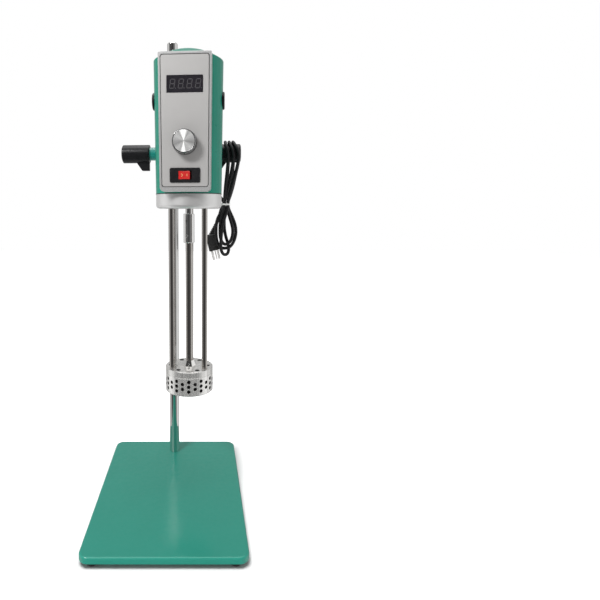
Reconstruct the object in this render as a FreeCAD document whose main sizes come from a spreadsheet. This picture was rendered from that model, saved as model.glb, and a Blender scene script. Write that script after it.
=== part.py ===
import FreeCAD, Part
import math
import os
import Sketcher
from FreeCAD import Placement, Rotation, Vector

# High shear mixer on a plate stand. Millimetres and degrees, +Z up.
# The origin is on the table, under the middle of the base plate; -Y is the front.

SIZES = {
    # Base plate and its feet
    "plate_width": 200.0,
    "plate_depth": 276.0,
    "plate_thickness": 8.0,
    "plate_corner_radius": 12.5,
    "plate_edge_radius": 2.5,
    "foot_height": 6.0,
    "foot_radius": 7.0,
    "foot_side_inset": 16.0,
    "foot_end_inset": 10.0,
    "foot_screw_radius": 1.6,
    "foot_screw_head_radius": 3.0,
    "foot_screw_head_height": 2.0,
    "foot_screw_grip": 5.0,
    # Column
    "column_radius": 8.0,
    "column_length": 651.0,
    "column_back_inset": 31.0,
    "column_chamfer": 1.5,
    "column_bolt_radius": 4.0,
    "column_bolt_head_radius": 6.5,
    "column_bolt_head_height": 4.0,
    "column_bolt_grip": 18.0,
    # Cross clamp
    "clamp_height": 485.0,
    "head_turn": -4.0,
    "head_offset": 31.0,
    "head_reach": 67.0,
    "clamp_left": 24.0,
    "clamp_right": 50.0,
    "clamp_depth": 30.0,
    "clamp_block_height": 44.0,
    "clamp_corner_radius": 7.0,
    "clamp_edge_radius": 2.0,
    "clamp_boss_radius": 10.0,
    "clamp_boss_length": 12.0,
    "clamp_bore_clearance": 0.08,
    "stud_radius": 4.0,
    "stud_clearance": 0.08,
    "stud_tip_gap": 0.3,
    "stud_grip": 26.0,
    "knob_gap": 0.5,
    "knob_radius": 14.0,
    "knob_length": 43.5,
    "knob_dome": 2.0,
    "knob_fin_reach": 26.0,
    "knob_fin_tip": 11.8,
    "knob_fin_root": 21.0,
    "knob_fin_thickness": 8.0,
    "head_rod_radius": 7.0,
    "head_rod_insert": 11.0,
    "head_rod_overhang": 18.0,
    "head_rod_drop": 85.5,
    # Motor head castings
    "housing_bottom_radius": 46.7,
    "housing_top_radius": 48.3,
    "housing_bore_radius": 43.4,
    "housing_height": 157.0,
    "housing_boss_radius": 13.0,
    "housing_boss_front": 38.5,
    "housing_boss_gap": 1.5,
    "housing_window_width": 52.0,
    "housing_window_bottom": 30.0,
    "housing_window_top": 174.0,
    "flange_height": 20.0,
    "flange_corner_radius": 5.0,
    "flange_spigot_height": 6.0,
    "spigot_clearance": 0.15,
    "shaft_hole_radius": 7.0,
    "cap_rim_radius": 48.6,
    "cap_skirt_height": 24.5,
    "cap_dome_height": 16.0,
    "cap_wall": 2.6,
    "cap_screw_radius": 1.5,
    "cap_screw_head_radius": 2.8,
    "cap_screw_spread": 20.0,
    # Front panel
    "panel_front": 55.0,
    "panel_top": 199.0,
    "panel_bottom": 22.0,
    "panel_top_width": 69.6,
    "panel_bottom_width": 67.2,
    "panel_slope_rise": 3.2,
    "panel_corner_radius": 6.0,
    "panel_top_corner_radius": 3.5,
    "face_corner_radius": 3.0,
    "panel_back": 32.0,
    "panel_seat_clearance": 0.15,
    "plate_rim": 3.0,
    "plate_rim_bottom": 6.3,
    "face_plate_thickness": 2.0,
    "face_ledge": 2.5,
    "face_clearance": 0.15,
    "face_seam": 0.45,
    "display_width": 47.2,
    "display_height": 21.6,
    "display_z": 159.5,
    "display_corner_radius": 2.0,
    "display_proud": 0.6,
    "speed_knob_z": 85.6,
    "speed_knob_radius": 15.6,
    "speed_knob_skirt_radius": 16.3,
    "speed_knob_skirt_height": 2.5,
    "speed_knob_height": 14.0,
    "speed_knob_gap": 0.4,
    "pot_shaft_radius": 3.0,
    "pot_body_radius": 8.0,
    "pot_body_depth": 7.0,
    "bezel_width": 40.2,
    "bezel_height": 19.2,
    "bezel_z": 43.3,
    "bezel_corner_radius": 2.0,
    "bezel_proud": 1.4,
    "rocker_width": 15.4,
    "rocker_root_width": 13.0,
    "rocker_height": 10.6,
    "rocker_end_gap": 1.1,
    "rocker_side_gap": 0.35,
    "rocker_proud": 1.6,
    "rocker_dish": 1.2,
    "rocker_pivot_depth": 3.0,
    "rocker_root_depth": 1.0,
    "rocker_tilt": 8.0,
    "switch_body_width": 20.0,
    "switch_body_depth": 13.0,
    "board_width": 46.0,
    "board_height": 60.0,
    "board_z": 128.0,
    "board_thickness": 1.6,
    # Motor
    "shaft_radius": 5.0,
    "shaft_clearance": 0.05,
    "bearing_radius": 15.0,
    "bearing_width": 9.0,
    "bearing_seat_clearance": 0.05,
    "lower_bearing_z": 8.0,
    "upper_bearing_z": 162.0,
    "bracket_thickness": 10.0,
    "armature_radius": 21.0,
    "armature_gap": 0.6,
    "field_radius": 35.0,
    "stack_bottom": 50.0,
    "stack_length": 55.0,
    "coil_height": 8.0,
    "coil_radius": 27.5,
    "winding_radius": 16.0,
    "winding_height": 7.0,
    "fan_radius": 27.0,
    "fan_hub_radius": 9.0,
    "fan_bottom": 27.0,
    "fan_hub_height": 13.0,
    "fan_disc_thickness": 1.5,
    "fan_height": 9.0,
    "fan_blade_thickness": 1.5,
    "fan_blades": 8.0,
    "bolt_circle_radius": 31.0,
    "motor_bolt_radius": 2.0,
    "motor_bolt_head_radius": 3.5,
    "motor_bolt_head_height": 4.0,
    "motor_bolt_clearance": 0.1,
    "brush_z": 149.6,
    "commutator_radius": 14.0,
    "commutator_length": 19.0,
    "brush_gap": 0.3,
    "brush_length": 14.0,
    "brush_width": 7.0,
    "brush_thickness": 5.0,
    "brush_holder_radius": 7.0,
    "brush_holder_bore": 4.6,
    "brush_holder_inner": 16.5,
    "brush_spring_radius": 3.2,
    "brush_spring_wall": 0.8,
    "brush_cap_radius": 12.0,
    "brush_cap_outer": 50.4,
    "brush_cap_seat": 46.2,
    "brush_cap_slot_width": 2.0,
    "brush_cap_slot_depth": 1.2,
    # Coupling and work head
    "coupling_drop": 7.0,
    "coupling_length": 42.0,
    "coupling_radius": 7.8,
    "coupling_chamfer": 0.8,
    "coupling_screw_inset": 10.5,
    "coupling_screw_radius": 2.0,
    "coupling_screw_angle": 110.0,
    "shaft_end_gap": 2.0,
    "rod_radius": 4.0,
    "rod_circle_radius": 27.0,
    "rod_spread": 120.0,
    "rod_length": 230.5,
    "rod_socket_depth": 12.0,
    "rod_clearance": 0.05,
    "stator_radius": 35.0,
    "stator_plate_height": 8.8,
    "stator_height": 35.4,
    "stator_wall": 2.5,
    "stator_seam": 0.35,
    "stator_floor": 2.5,
    "stator_intake_radius": 20.0,
    "stator_spigot_height": 3.0,
    "stator_hole_radius": 2.55,
    "stator_hole_pitch": 7.1,
    "stator_hole_z": 17.0,
    "stator_columns": 24.0,
    "flow_hole_radius": 3.0,
    "stator_screw_radius": 2.0,
    "stator_screw_head_radius": 3.6,
    "stator_screw_head_height": 2.2,
    "stator_screw_grip": 12.0,
    "bush_radius": 9.6,
    "bush_height": 8.0,
    "bush_taper": -18.0,
    "bush_screw_radius": 1.6,
    "bush_screw_height": 3.2,
    "bush_screw_depth": 6.2,
    "bush_spigot_radius": 7.5,
    "rotor_gap": 0.5,
    "rotor_hub_radius": 8.5,
    "rotor_web_thickness": 3.0,
    "rotor_web_lift": 3.0,
    "rotor_height": 17.0,
    "rotor_lift": 1.5,
    "rotor_blade_thickness": 3.5,
    "rotor_blade_root": 20.0,
    "rotor_blades": 6.0,
    "rotor_nut_radius": 6.5,
    "rotor_nut_height": 4.5,
    # Supply cord
    "cord_radius": 2.5,
    "gland_offset": 28.0,
    "gland_z": 32.0,
    "gland_radius": 6.0,
    "gland_neck_radius": 4.6,
    "gland_insert": 8.0,
    "hank_centre": 94.8,
    "hank_width": 21.6,
    "hank_waist_drop": 78.5,
    "hank_waist_width": 10.4,
    "hank_waist_depth": 20.8,
    "hank_waist_height": 2.0,
    "hank_waist_offset": -11.4,
    "hank_knob_gap": 0.4,
    "tie_height": 2.6,
    "tie_thickness": 0.9,
    "tie_clearance": 0.2,
    "plug_lean": 14.0,
    "plug_neck_lean": 24.0,
    "plug_neck_length": 20.0,
    "plug_neck_radius": 3.4,
    "plug_neck_root": 4.6,
    "plug_width": 17.0,
    "plug_depth": 15.0,
    "plug_length": 24.0,
    "plug_corner_radius": 3.0,
    "plug_pin_spread": 4.5,
    "plug_pin_width": 5.0,
    "plug_pin_thickness": 1.6,
    "plug_pin_length": 15.0,
}


class Size:
    """A size with the sheet formula that gives it."""

    def __init__(self, value, formula):
        self.value = float(value)
        self.formula = formula

    def __add__(self, other):
        other = as_size(other)
        return Size(self.value + other.value, f"({self.formula} + {other.formula})")

    def __sub__(self, other):
        other = as_size(other)
        return Size(self.value - other.value, f"({self.formula} - {other.formula})")

    def __mul__(self, other):
        other = as_size(other)
        return Size(self.value * other.value, f"({self.formula} * {other.formula})")

    def __truediv__(self, other):
        other = as_size(other)
        return Size(self.value / other.value, f"({self.formula} / {other.formula})")

    def __neg__(self):
        return Size(0, "0") - self

    __radd__ = __add__
    __rmul__ = __mul__

    def __rsub__(self, other):
        return as_size(other) - self


def as_size(number):
    if isinstance(number, Size):
        return number
    text = f"{abs(number):g}"
    return Size(number, text if number >= 0 else f"(0 - {text})")


def cosine(angle):
    angle = as_size(angle)
    return Size(math.cos(math.radians(angle.value)), f"cos({angle.formula})")


def sine(angle):
    angle = as_size(angle)
    return Size(math.sin(math.radians(angle.value)), f"sin({angle.formula})")


def root(size):
    return Size(math.sqrt(size.value), f"sqrt({size.formula})")


class Sheet:
    """Reads a driving dimension by its name, as a Size."""

    def __getattr__(self, name):
        return Size(SIZES[name], f"Sizes.{name}")


doc = FreeCAD.newDocument("HighShearMixer")
sheet = doc.addObject("Spreadsheet::Sheet", "Sizes")
for row, (name, number) in enumerate(SIZES.items(), start=1):
    sheet.set(f"A{row}", name)
    sheet.set(f"B{row}", f"{number:g}")
    sheet.setAlias(f"B{row}", name)
doc.recompute()
d = Sheet()
NODES = []


class Frame:
    """Where a group of sub-parts stands: an origin and a turn about the upright."""

    def __init__(self, x, y, z, turn):
        self.x = as_size(x)
        self.y = as_size(y)
        self.z = as_size(z)
        self.turn = as_size(turn)


plate_top = d.foot_height + d.plate_thickness
column_y = d.plate_depth / 2 - d.column_back_inset
clamp_z = plate_top + d.clamp_height
head_x = d.head_offset * cosine(d.head_turn) + d.head_reach * sine(d.head_turn)
head_y = column_y + d.head_offset * sine(d.head_turn) - d.head_reach * cosine(d.head_turn)
head_z = clamp_z - d.head_rod_drop

STAND = Frame(0, 0, 0, 0)
CLAMP = Frame(0, column_y, clamp_z, d.head_turn)
HEAD = Frame(head_x, head_y, head_z, d.head_turn)


def place(item, frame):
    item.Placement = Placement(
        Vector(frame.x.value, frame.y.value, frame.z.value),
        Rotation(Vector(0, 0, 1), frame.turn.value),
    )
    item.setExpression("Placement.Base.x", frame.x.formula)
    item.setExpression("Placement.Base.y", frame.y.formula)
    item.setExpression("Placement.Base.z", frame.z.formula)
    if frame.turn.value:
        item.setExpression("Placement.Rotation.Angle", frame.turn.formula)


def new_body(name, frame):
    body = doc.addObject("PartDesign::Body", name)
    body.Label = name
    place(body, frame)
    NODES.append(body)
    return body


def origin_item(body, role):
    return next(o for o in body.Origin.OriginFeatures if o.Role == role)


def new_sketch(body, plane, along=0, up=0, out=0):
    """A sketch on an origin plane, moved along its own two axes and its normal."""
    sketch = body.newObject("Sketcher::SketchObject", body.Label + "_sketch")
    sketch.AttachmentSupport = (origin_item(body, plane), [""])
    sketch.MapMode = "FlatFace"
    shift = [as_size(along), as_size(up), as_size(out)]
    sketch.AttachmentOffset = Placement(Vector(*[s.value for s in shift]), Rotation())
    for axis, size in zip("xyz", shift):
        if size.value:
            sketch.setExpression(f"AttachmentOffset.Base.{axis}", size.formula)
    return sketch


def pin_point(sketch, geometry, end, u, v):
    for kind, size in (("DistanceX", as_size(u)), ("DistanceY", as_size(v))):
        fix = Sketcher.Constraint(kind, -1, 1, geometry, end, size.value)
        number = sketch.addConstraint(fix)
        if not isinstance(u if kind == "DistanceX" else v, (int, float)):
            sketch.setExpression(f"Constraints[{number}]", size.formula)


def arc_between(start, end, radius):
    """An arc of a signed radius: plus turns left from start to end, minus turns right."""
    chord = end - start
    half = chord.Length / 2
    left = Vector(-chord.y, chord.x, 0).normalize()
    rise = math.sqrt(max(radius * radius - half * half, 0))
    centre = (start + end) / 2 + left * (rise if radius > 0 else -rise)
    first = math.atan2(start.y - centre.y, start.x - centre.x)
    last = math.atan2(end.y - centre.y, end.x - centre.x)
    if radius < 0:
        first, last = last, first
    circle = Part.Circle(centre, Vector(0, 0, 1), abs(radius))
    return Part.ArcOfCircle(circle, first, last)


def outline(sketch, corners):
    """A closed outline. A corner is (u, v), or (u, v, r) where an arc of radius r follows it."""
    spots = [Vector(as_size(c[0]).value, as_size(c[1]).value, 0) for c in corners]
    ends = []
    for k, corner in enumerate(corners):
        here, there = spots[k], spots[(k + 1) % len(spots)]
        if len(corner) == 3:
            radius = as_size(corner[2])
            index = sketch.addGeometry(arc_between(here, there, radius.value), False)
            ends.append((index, 1, 2) if radius.value > 0 else (index, 2, 1))
            size = radius if radius.value > 0 else -radius
            number = sketch.addConstraint(Sketcher.Constraint("Radius", index, size.value))
            sketch.setExpression(f"Constraints[{number}]", size.formula)
        else:
            index = sketch.addGeometry(Part.LineSegment(here, there), False)
            ends.append((index, 1, 2))
    for k, corner in enumerate(corners):
        index, first, last = ends[k]
        after, after_first, _ = ends[(k + 1) % len(ends)]
        sketch.addConstraint(Sketcher.Constraint("Coincident", index, last, after, after_first))
        pin_point(sketch, index, first, corner[0], corner[1])


def circle(sketch, u, v, radius):
    radius = as_size(radius)
    centre = Vector(as_size(u).value, as_size(v).value, 0)
    index = sketch.addGeometry(Part.Circle(centre, Vector(0, 0, 1), radius.value), False)
    number = sketch.addConstraint(Sketcher.Constraint("Radius", index, radius.value))
    sketch.setExpression(f"Constraints[{number}]", radius.formula)
    pin_point(sketch, index, 3, u, v)


def rectangle(sketch, left, right, bottom, top):
    outline(sketch, [(left, bottom), (right, bottom), (right, top), (left, top)])


def extrude(body, sketch, length, kind="Pad", back=False, middle=False):
    """A pad or pocket of a sketch, along the sketch's normal, or against it."""
    length = as_size(length)
    feature = body.newObject("PartDesign::" + kind, body.Label + "_" + kind.lower())
    feature.Profile = sketch
    feature.Length = length.value
    feature.setExpression("Length", length.formula)
    feature.Reversed = back
    feature.Midplane = middle
    return feature


def cut(body, sketch, length, back=False, middle=False):
    """A pocket that runs along the sketch's normal, or against it when back is set."""
    return extrude(body, sketch, length, "Pocket", not back, middle)


LATHE_PLANES = {"Z": ("XZ_Plane", "V_Axis"), "X": ("XZ_Plane", "H_Axis"), "Y": ("YZ_Plane", "H_Axis")}


def lathe(body, corners, axis="Z", x=0, y=0, z=0, kind="Revolution"):
    """Turns an outline about an axis. Corners are (radius, height) for Z, (place, radius) for X or Y."""
    plane, line = LATHE_PLANES[axis]
    x, y, z = as_size(x), as_size(y), as_size(z)
    if axis == "Z":
        sketch = new_sketch(body, plane, along=x, out=-y)
    elif axis == "X":
        sketch = new_sketch(body, plane, up=z, out=-y)
    else:
        sketch = new_sketch(body, plane, up=z, out=x)
    outline(sketch, corners)
    feature = body.newObject("PartDesign::" + kind, body.Label + "_" + kind.lower())
    feature.Profile = sketch
    feature.ReferenceAxis = (sketch, [line])
    feature.Angle = 360
    return feature


def bar(start, end, radius, bore=0):
    """The outline of a plain turned bar, or of a tube where it has a bore."""
    return [(start, bore), (end, bore), (end, radius), (start, radius)]


def post(bottom, top, radius, bore=0):
    """The outline of an upright turned post, or of a tube where it has a bore."""
    return [(bore, bottom), (radius, bottom), (radius, top), (bore, top)]


def around(body, features, count):
    """Repeats features about the frame's upright axis."""
    count = as_size(count)
    pattern = body.newObject("PartDesign::PolarPattern", body.Label + "_around")
    pattern.Originals = features
    pattern.Axis = (origin_item(body, "Z_Axis"), [""])
    pattern.Angle = 360
    pattern.Occurrences = int(count.value)
    body.Tip = pattern
    return pattern


def round_off(body, radius, wanted, kind="Fillet"):
    """Rounds or chamfers the edges that wanted picks, each known by its ends and its middle."""
    doc.recompute()
    base = body.Tip
    names = []
    for number, edge in enumerate(base.Shape.Edges, start=1):
        first, last = edge.Vertexes[0].Point, edge.Vertexes[-1].Point
        middle = edge.valueAt((edge.FirstParameter + edge.LastParameter) / 2)
        if wanted(first, last, middle):
            names.append(f"Edge{number}")
    radius = as_size(radius)
    feature = body.newObject("PartDesign::" + kind, body.Label + "_" + kind.lower())
    feature.Base = (base, names)
    size = "Radius" if kind == "Fillet" else "Size"
    setattr(feature, size, radius.value)
    feature.setExpression(size, radius.formula)
    return feature


def near(a, b):
    return abs(a - b) < 1e-4


def upright(first, last, middle):
    return near(first.x, last.x) and near(first.y, last.y) and not near(first.z, last.z)


def front_to_back(first, last, middle):
    return near(first.x, last.x) and near(first.z, last.z) and not near(first.y, last.y)


def polar(radius, angle):
    return radius * cosine(angle), radius * sine(angle)


# Stand


def foot_centres():
    x = d.plate_width / 2 - d.foot_side_inset
    y = d.plate_depth / 2 - d.foot_end_inset
    return [(x, y), (-x, y), (-x, -y), (x, -y)]


def circles_at(sketch, centres, radius):
    for x, y in centres:
        circle(sketch, x, y, radius)


def base_plate():
    body = new_body("base_plate", STAND)
    sketch = new_sketch(body, "XY_Plane", out=d.foot_height)
    half_w, half_d = d.plate_width / 2, d.plate_depth / 2
    rectangle(sketch, -half_w, half_w, -half_d, half_d)
    extrude(body, sketch, d.plate_thickness)
    round_off(body, d.plate_corner_radius, upright)
    top = plate_top.value
    round_off(body, d.plate_edge_radius, lambda a, b, m: near(a.z, top) and near(b.z, top))
    sketch = new_sketch(body, "XY_Plane", out=d.foot_height)
    circle(sketch, 0, column_y, d.column_bolt_radius + d.motor_bolt_clearance)
    cut(body, sketch, d.plate_thickness)
    sketch = new_sketch(body, "XY_Plane", out=d.foot_height)
    circle(sketch, 0, column_y, d.column_bolt_head_radius + d.motor_bolt_clearance)
    cut(body, sketch, d.column_bolt_head_height)
    sketch = new_sketch(body, "XY_Plane", out=d.foot_height)
    circles_at(sketch, foot_centres(), d.foot_screw_radius + d.rod_clearance)
    cut(body, sketch, d.foot_screw_grip + 0.5)


def base_feet():
    body = new_body("base_feet", STAND)
    sketch = new_sketch(body, "XY_Plane")
    circles_at(sketch, foot_centres(), d.foot_radius)
    extrude(body, sketch, d.foot_height)
    round_off(body, 1.2, lambda a, b, m: near(m.z, 0), "Chamfer")
    sketch = new_sketch(body, "XY_Plane")
    circles_at(sketch, foot_centres(), d.foot_screw_head_radius + d.stud_tip_gap)
    cut(body, sketch, d.foot_height / 2)
    sketch = new_sketch(body, "XY_Plane")
    circles_at(sketch, foot_centres(), d.foot_screw_radius + d.rod_clearance)
    cut(body, sketch, d.foot_height)


def foot_screws():
    body = new_body("foot_screws", STAND)
    seat = d.foot_height / 2
    sketch = new_sketch(body, "XY_Plane", out=seat - d.foot_screw_head_height)
    circles_at(sketch, foot_centres(), d.foot_screw_head_radius)
    extrude(body, sketch, d.foot_screw_head_height)
    sketch = new_sketch(body, "XY_Plane", out=seat - 0.5)
    circles_at(sketch, foot_centres(), d.foot_screw_radius)
    extrude(body, sketch, d.foot_height - seat + 0.5 + d.foot_screw_grip)


def column():
    body = new_body("column", STAND)
    top = plate_top + d.column_length
    edge = d.column_radius - d.column_chamfer
    bore = d.column_bolt_radius + d.rod_clearance
    bottom = plate_top + d.column_bolt_grip + 2
    lathe(
        body,
        [(bore, plate_top), (d.column_radius, plate_top), (d.column_radius, top - d.column_chamfer)]
        + [(edge, top), (0, top), (0, bottom + bore / 2), (bore, bottom)],
        y=column_y,
    )


def column_bolt():
    body = new_body("column_bolt", STAND)
    seat = d.foot_height + d.column_bolt_head_height
    head, shank = d.column_bolt_head_radius, d.column_bolt_radius
    tip = plate_top + d.column_bolt_grip
    low = d.foot_height + 0.2
    lathe(body, [(0, low), (head, low), (head, seat), (shank, seat), (shank, tip), (0, tip)], y=column_y)
    sketch = new_sketch(body, "XY_Plane", out=low)
    hexagon(sketch, 0, column_y, 2.9)
    cut(body, sketch, 2.4)


def hexagon(sketch, x, y, radius):
    outline(sketch, [tuple(a + b for a, b in zip((x, y), polar(as_size(radius), 60 * k))) for k in range(6)])


# Clamp


def clamp_body():
    body = new_body("clamp_body", CLAMP)
    half_d, half_h = d.clamp_depth / 2, d.clamp_block_height / 2
    sketch = new_sketch(body, "XY_Plane", out=-half_h)
    rectangle(sketch, -d.clamp_left, d.clamp_right, -half_d, half_d)
    extrude(body, sketch, d.clamp_block_height)
    round_off(body, d.clamp_corner_radius, upright)
    high = half_h.value
    round_off(body, d.clamp_edge_radius, lambda a, b, m: near(abs(a.z), high) and near(a.z, b.z))
    left_end = -d.clamp_left - d.clamp_boss_length
    right_end = d.clamp_right + d.clamp_boss_length
    lathe(body, bar(left_end, -d.clamp_left + 6, d.clamp_boss_radius), "X")
    lathe(body, bar(d.clamp_right - 6, right_end, d.clamp_boss_radius), "X")
    sketch = new_sketch(body, "XY_Plane", out=-half_h)
    circle(sketch, 0, 0, d.column_radius + d.clamp_bore_clearance)
    cut(body, sketch, d.clamp_block_height)
    sketch = new_sketch(body, "XZ_Plane")
    circle(sketch, d.head_offset, 0, d.head_rod_radius + d.rod_clearance)
    cut(body, sketch, d.clamp_depth, middle=True)
    bore = d.stud_radius + d.stud_clearance
    lathe(body, bar(left_end, 0, bore), "X", kind="Groove")
    lathe(body, bar(d.head_offset, right_end, bore), "X", kind="Groove")


def head_rod():
    body = new_body("head_rod", CLAMP)
    back = d.clamp_depth / 2 + d.head_rod_overhang
    front = -d.clamp_depth / 2 - d.housing_boss_gap - d.head_rod_insert
    edge = d.head_rod_radius - 1
    lathe(
        body,
        [(front, 0), (back, 0), (back, edge), (back - 1, d.head_rod_radius)]
        + [(front + 1, d.head_rod_radius), (front, edge)],
        "Y",
        x=d.head_offset,
    )


def clamp_knob(side, clamp_end, bar_face):
    """The stud and the knob on one side; side is -1 for left and 1 for right."""
    name = "left" if side < 0 else "right"
    inner = side * (clamp_end + d.knob_gap)
    outer = inner + side * d.knob_length
    tip = bar_face + side * d.stud_tip_gap
    deep = inner + side * d.stud_grip
    stud = new_body(name + "_clamp_stud", CLAMP)
    point = d.stud_radius - 1
    lathe(
        stud,
        [(tip, 0), (tip, point), (tip + side, d.stud_radius), (deep, d.stud_radius), (deep, 0)],
        "X",
    )
    knob = new_body(name + "_clamp_knob", CLAMP)
    reach = d.knob_radius
    sketch_corners = [
        (inner, d.stud_radius + 0.02),
        (inner, reach - 1),
        (inner + side, reach),
        (outer - side * d.knob_dome, reach),
        (outer - side * d.knob_dome / 4, reach - 1.5),
        (outer, 0),
        (deep + side * 0.2, 0),
        (deep + side * 0.2, d.stud_radius + 0.02),
    ]
    lathe(knob, sketch_corners, "X")
    sketch = new_sketch(knob, "XZ_Plane")
    outline(
        sketch,
        [
            (inner + side * 0.3, 1 - d.knob_radius),
            (inner + side * 0.3, -d.knob_fin_reach / 1.35),
            (inner + side * 1.2, -d.knob_fin_reach),
            (inner + side * d.knob_fin_tip, -d.knob_fin_reach),
            (inner + side * d.knob_fin_root, -d.knob_radius),
            (inner + side * d.knob_fin_root, 1 - d.knob_radius),
        ],
    )
    extrude(knob, sketch, d.knob_fin_thickness, middle=True)


# Motor head


def housing_profile(gap):
    """The outside of housing and cap, from the flange seam to the cap's rim, with a gap all round."""
    seam = d.flange_height
    top = seam + d.housing_height
    return [
        (d.housing_bottom_radius + gap, seam),
        (d.housing_top_radius + gap, top),
        (d.cap_rim_radius + gap, top + d.cap_skirt_height),
    ]


def gland_seat():
    """How far back the housing's spot face for the cord gland lies."""
    return root(d.housing_bottom_radius * d.housing_bottom_radius - d.gland_offset * d.gland_offset) - 1


def motor_housing():
    body = new_body("motor_housing", HEAD)
    seam, top = d.flange_height, d.flange_height + d.housing_height
    bore = d.housing_bore_radius
    lathe(body, [(bore, seam), (d.housing_bottom_radius, seam), (d.housing_top_radius, top), (bore, top)])
    back = d.head_reach - d.clamp_depth / 2 - d.housing_boss_gap
    sketch = new_sketch(body, "XZ_Plane", out=-back)
    circle(sketch, 0, d.head_rod_drop, d.housing_boss_radius)
    extrude(body, sketch, back - d.housing_boss_front)
    sketch = new_sketch(body, "XZ_Plane", out=-back)
    circle(sketch, 0, d.head_rod_drop, d.head_rod_radius + d.rod_clearance)
    cut(body, sketch, d.head_rod_insert)
    half = d.housing_window_width / 2
    sketch = new_sketch(body, "XZ_Plane", out=d.housing_window_width / 2)
    rectangle(sketch, -half, half, d.housing_window_bottom, d.housing_window_top)
    cut(body, sketch, d.panel_front)
    brush_bore = d.brush_holder_radius + d.rod_clearance
    lathe(body, bar(-d.brush_cap_outer, d.brush_cap_outer, brush_bore), "X", z=d.brush_z, kind="Groove")
    seat = d.brush_cap_radius + d.spigot_clearance
    for side in (-1, 1):
        face = side * d.brush_cap_seat
        lathe(body, bar(face, side * d.brush_cap_outer, seat), "X", z=d.brush_z, kind="Groove")
    neck = d.gland_neck_radius + d.rod_clearance
    head = d.gland_radius + d.spigot_clearance
    seat, far = gland_seat(), d.housing_bottom_radius
    gland = [(0, 0), (far, 0), (far, head), (seat, head), (seat, neck), (0, neck)]
    lathe(body, gland, "Y", x=d.gland_offset, z=d.gland_z, kind="Groove")


def top_cap():
    body = new_body("top_cap", HEAD)
    seam = d.flange_height + d.housing_height
    rim = seam + d.cap_skirt_height
    wall = d.cap_wall
    curve = (d.cap_rim_radius * d.cap_rim_radius / d.cap_dome_height + d.cap_dome_height) / 2
    inner_curve = curve - wall
    inner_rim = d.cap_rim_radius - wall
    inner_fall = inner_curve - root(inner_curve * inner_curve - inner_rim * inner_rim)
    top = rim + d.cap_dome_height
    lathe(
        body,
        [(d.housing_top_radius - wall, seam), (d.housing_top_radius, seam)]
        + [(d.cap_rim_radius, rim, curve), (0, top), (0, top - wall, -inner_curve)]
        + [(inner_rim, top - wall - inner_fall)],
    )
    screw_holes = d.cap_screw_radius + d.rod_clearance
    for side in (-1, 1):
        lathe(body, bar(d.cap_rim_radius / 2, d.cap_rim_radius, screw_holes), "Y",
              x=side * d.cap_screw_spread, z=seam + d.cap_skirt_height / 2, kind="Groove")


def cap_screw_face():
    """How far back the cap's skirt lies where its two screws sit."""
    return root(d.cap_rim_radius * d.cap_rim_radius - d.cap_screw_spread * d.cap_screw_spread)


def cap_screws():
    body = new_body("cap_screws", HEAD)
    z = d.flange_height + d.housing_height + d.cap_skirt_height / 2
    face = cap_screw_face() + 1
    head, shank = d.cap_screw_head_radius, d.cap_screw_radius
    for side in (-1, 1):
        lathe(
            body,
            [(face - 12, 0), (face + 1.6, 0), (face + 1.6, head - 0.8), (face + 1, head)]
            + [(face, head), (face, shank), (face - 12, shank)],
            "Y",
            x=side * d.cap_screw_spread,
            z=z,
        )


def lower_flange():
    body = new_body("lower_flange", HEAD)
    outer, seam = d.housing_bottom_radius, d.flange_height
    corner = d.flange_corner_radius
    spigot = d.housing_bore_radius - d.spigot_clearance
    top = seam + d.flange_spigot_height
    seat = d.bearing_radius + d.bearing_seat_clearance
    hole = d.shaft_hole_radius
    lathe(
        body,
        [(hole, 0), (outer - corner, 0, corner), (outer, corner), (outer, seam), (spigot, seam)]
        + [(spigot, top), (seat, top), (seat, d.lower_bearing_z), (hole, d.lower_bearing_z)],
    )
    sketch = new_sketch(body, "XY_Plane")
    circle(sketch, 0, d.rod_circle_radius, d.rod_radius + d.rod_clearance)
    rods = cut(body, sketch, d.rod_socket_depth)
    around(body, [rods], 3)
    sketch = new_sketch(body, "XY_Plane")
    circle(sketch, 0, -d.bolt_circle_radius, d.motor_bolt_radius + d.motor_bolt_clearance)
    bolts = cut(body, sketch, top)
    around(body, [bolts], 3)
    sketch = new_sketch(body, "XY_Plane")
    circle(sketch, 0, -d.bolt_circle_radius, d.motor_bolt_head_radius + d.spigot_clearance)
    heads = cut(body, sketch, d.motor_bolt_head_height + 0.5)
    around(body, [heads], 3)


def motor_bolts():
    body = new_body("motor_bolts", HEAD)
    seat = d.motor_bolt_head_height + 0.5
    tip = d.upper_bearing_z + d.bracket_thickness - 2
    head, shank = d.motor_bolt_head_radius, d.motor_bolt_radius
    bolt = lathe(
        body,
        [(0, 0.5), (head, 0.5), (head, seat), (shank, seat), (shank, tip), (0, tip)],
        y=-d.bolt_circle_radius,
    )
    around(body, [bolt], 3)


def bearing(name, z):
    body = new_body(name, HEAD)
    inner = d.shaft_radius + d.shaft_clearance
    outer, top = d.bearing_radius, z + d.bearing_width
    shield = (outer + inner) / 2
    lathe(
        body,
        [(inner, z), (shield - 3, z), (shield - 3, z + 0.5), (shield + 3, z + 0.5), (shield + 3, z)]
        + [(outer, z), (outer, top), (shield + 3, top), (shield + 3, top - 0.5)]
        + [(shield - 3, top - 0.5), (shield - 3, top), (inner, top)],
    )


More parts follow.
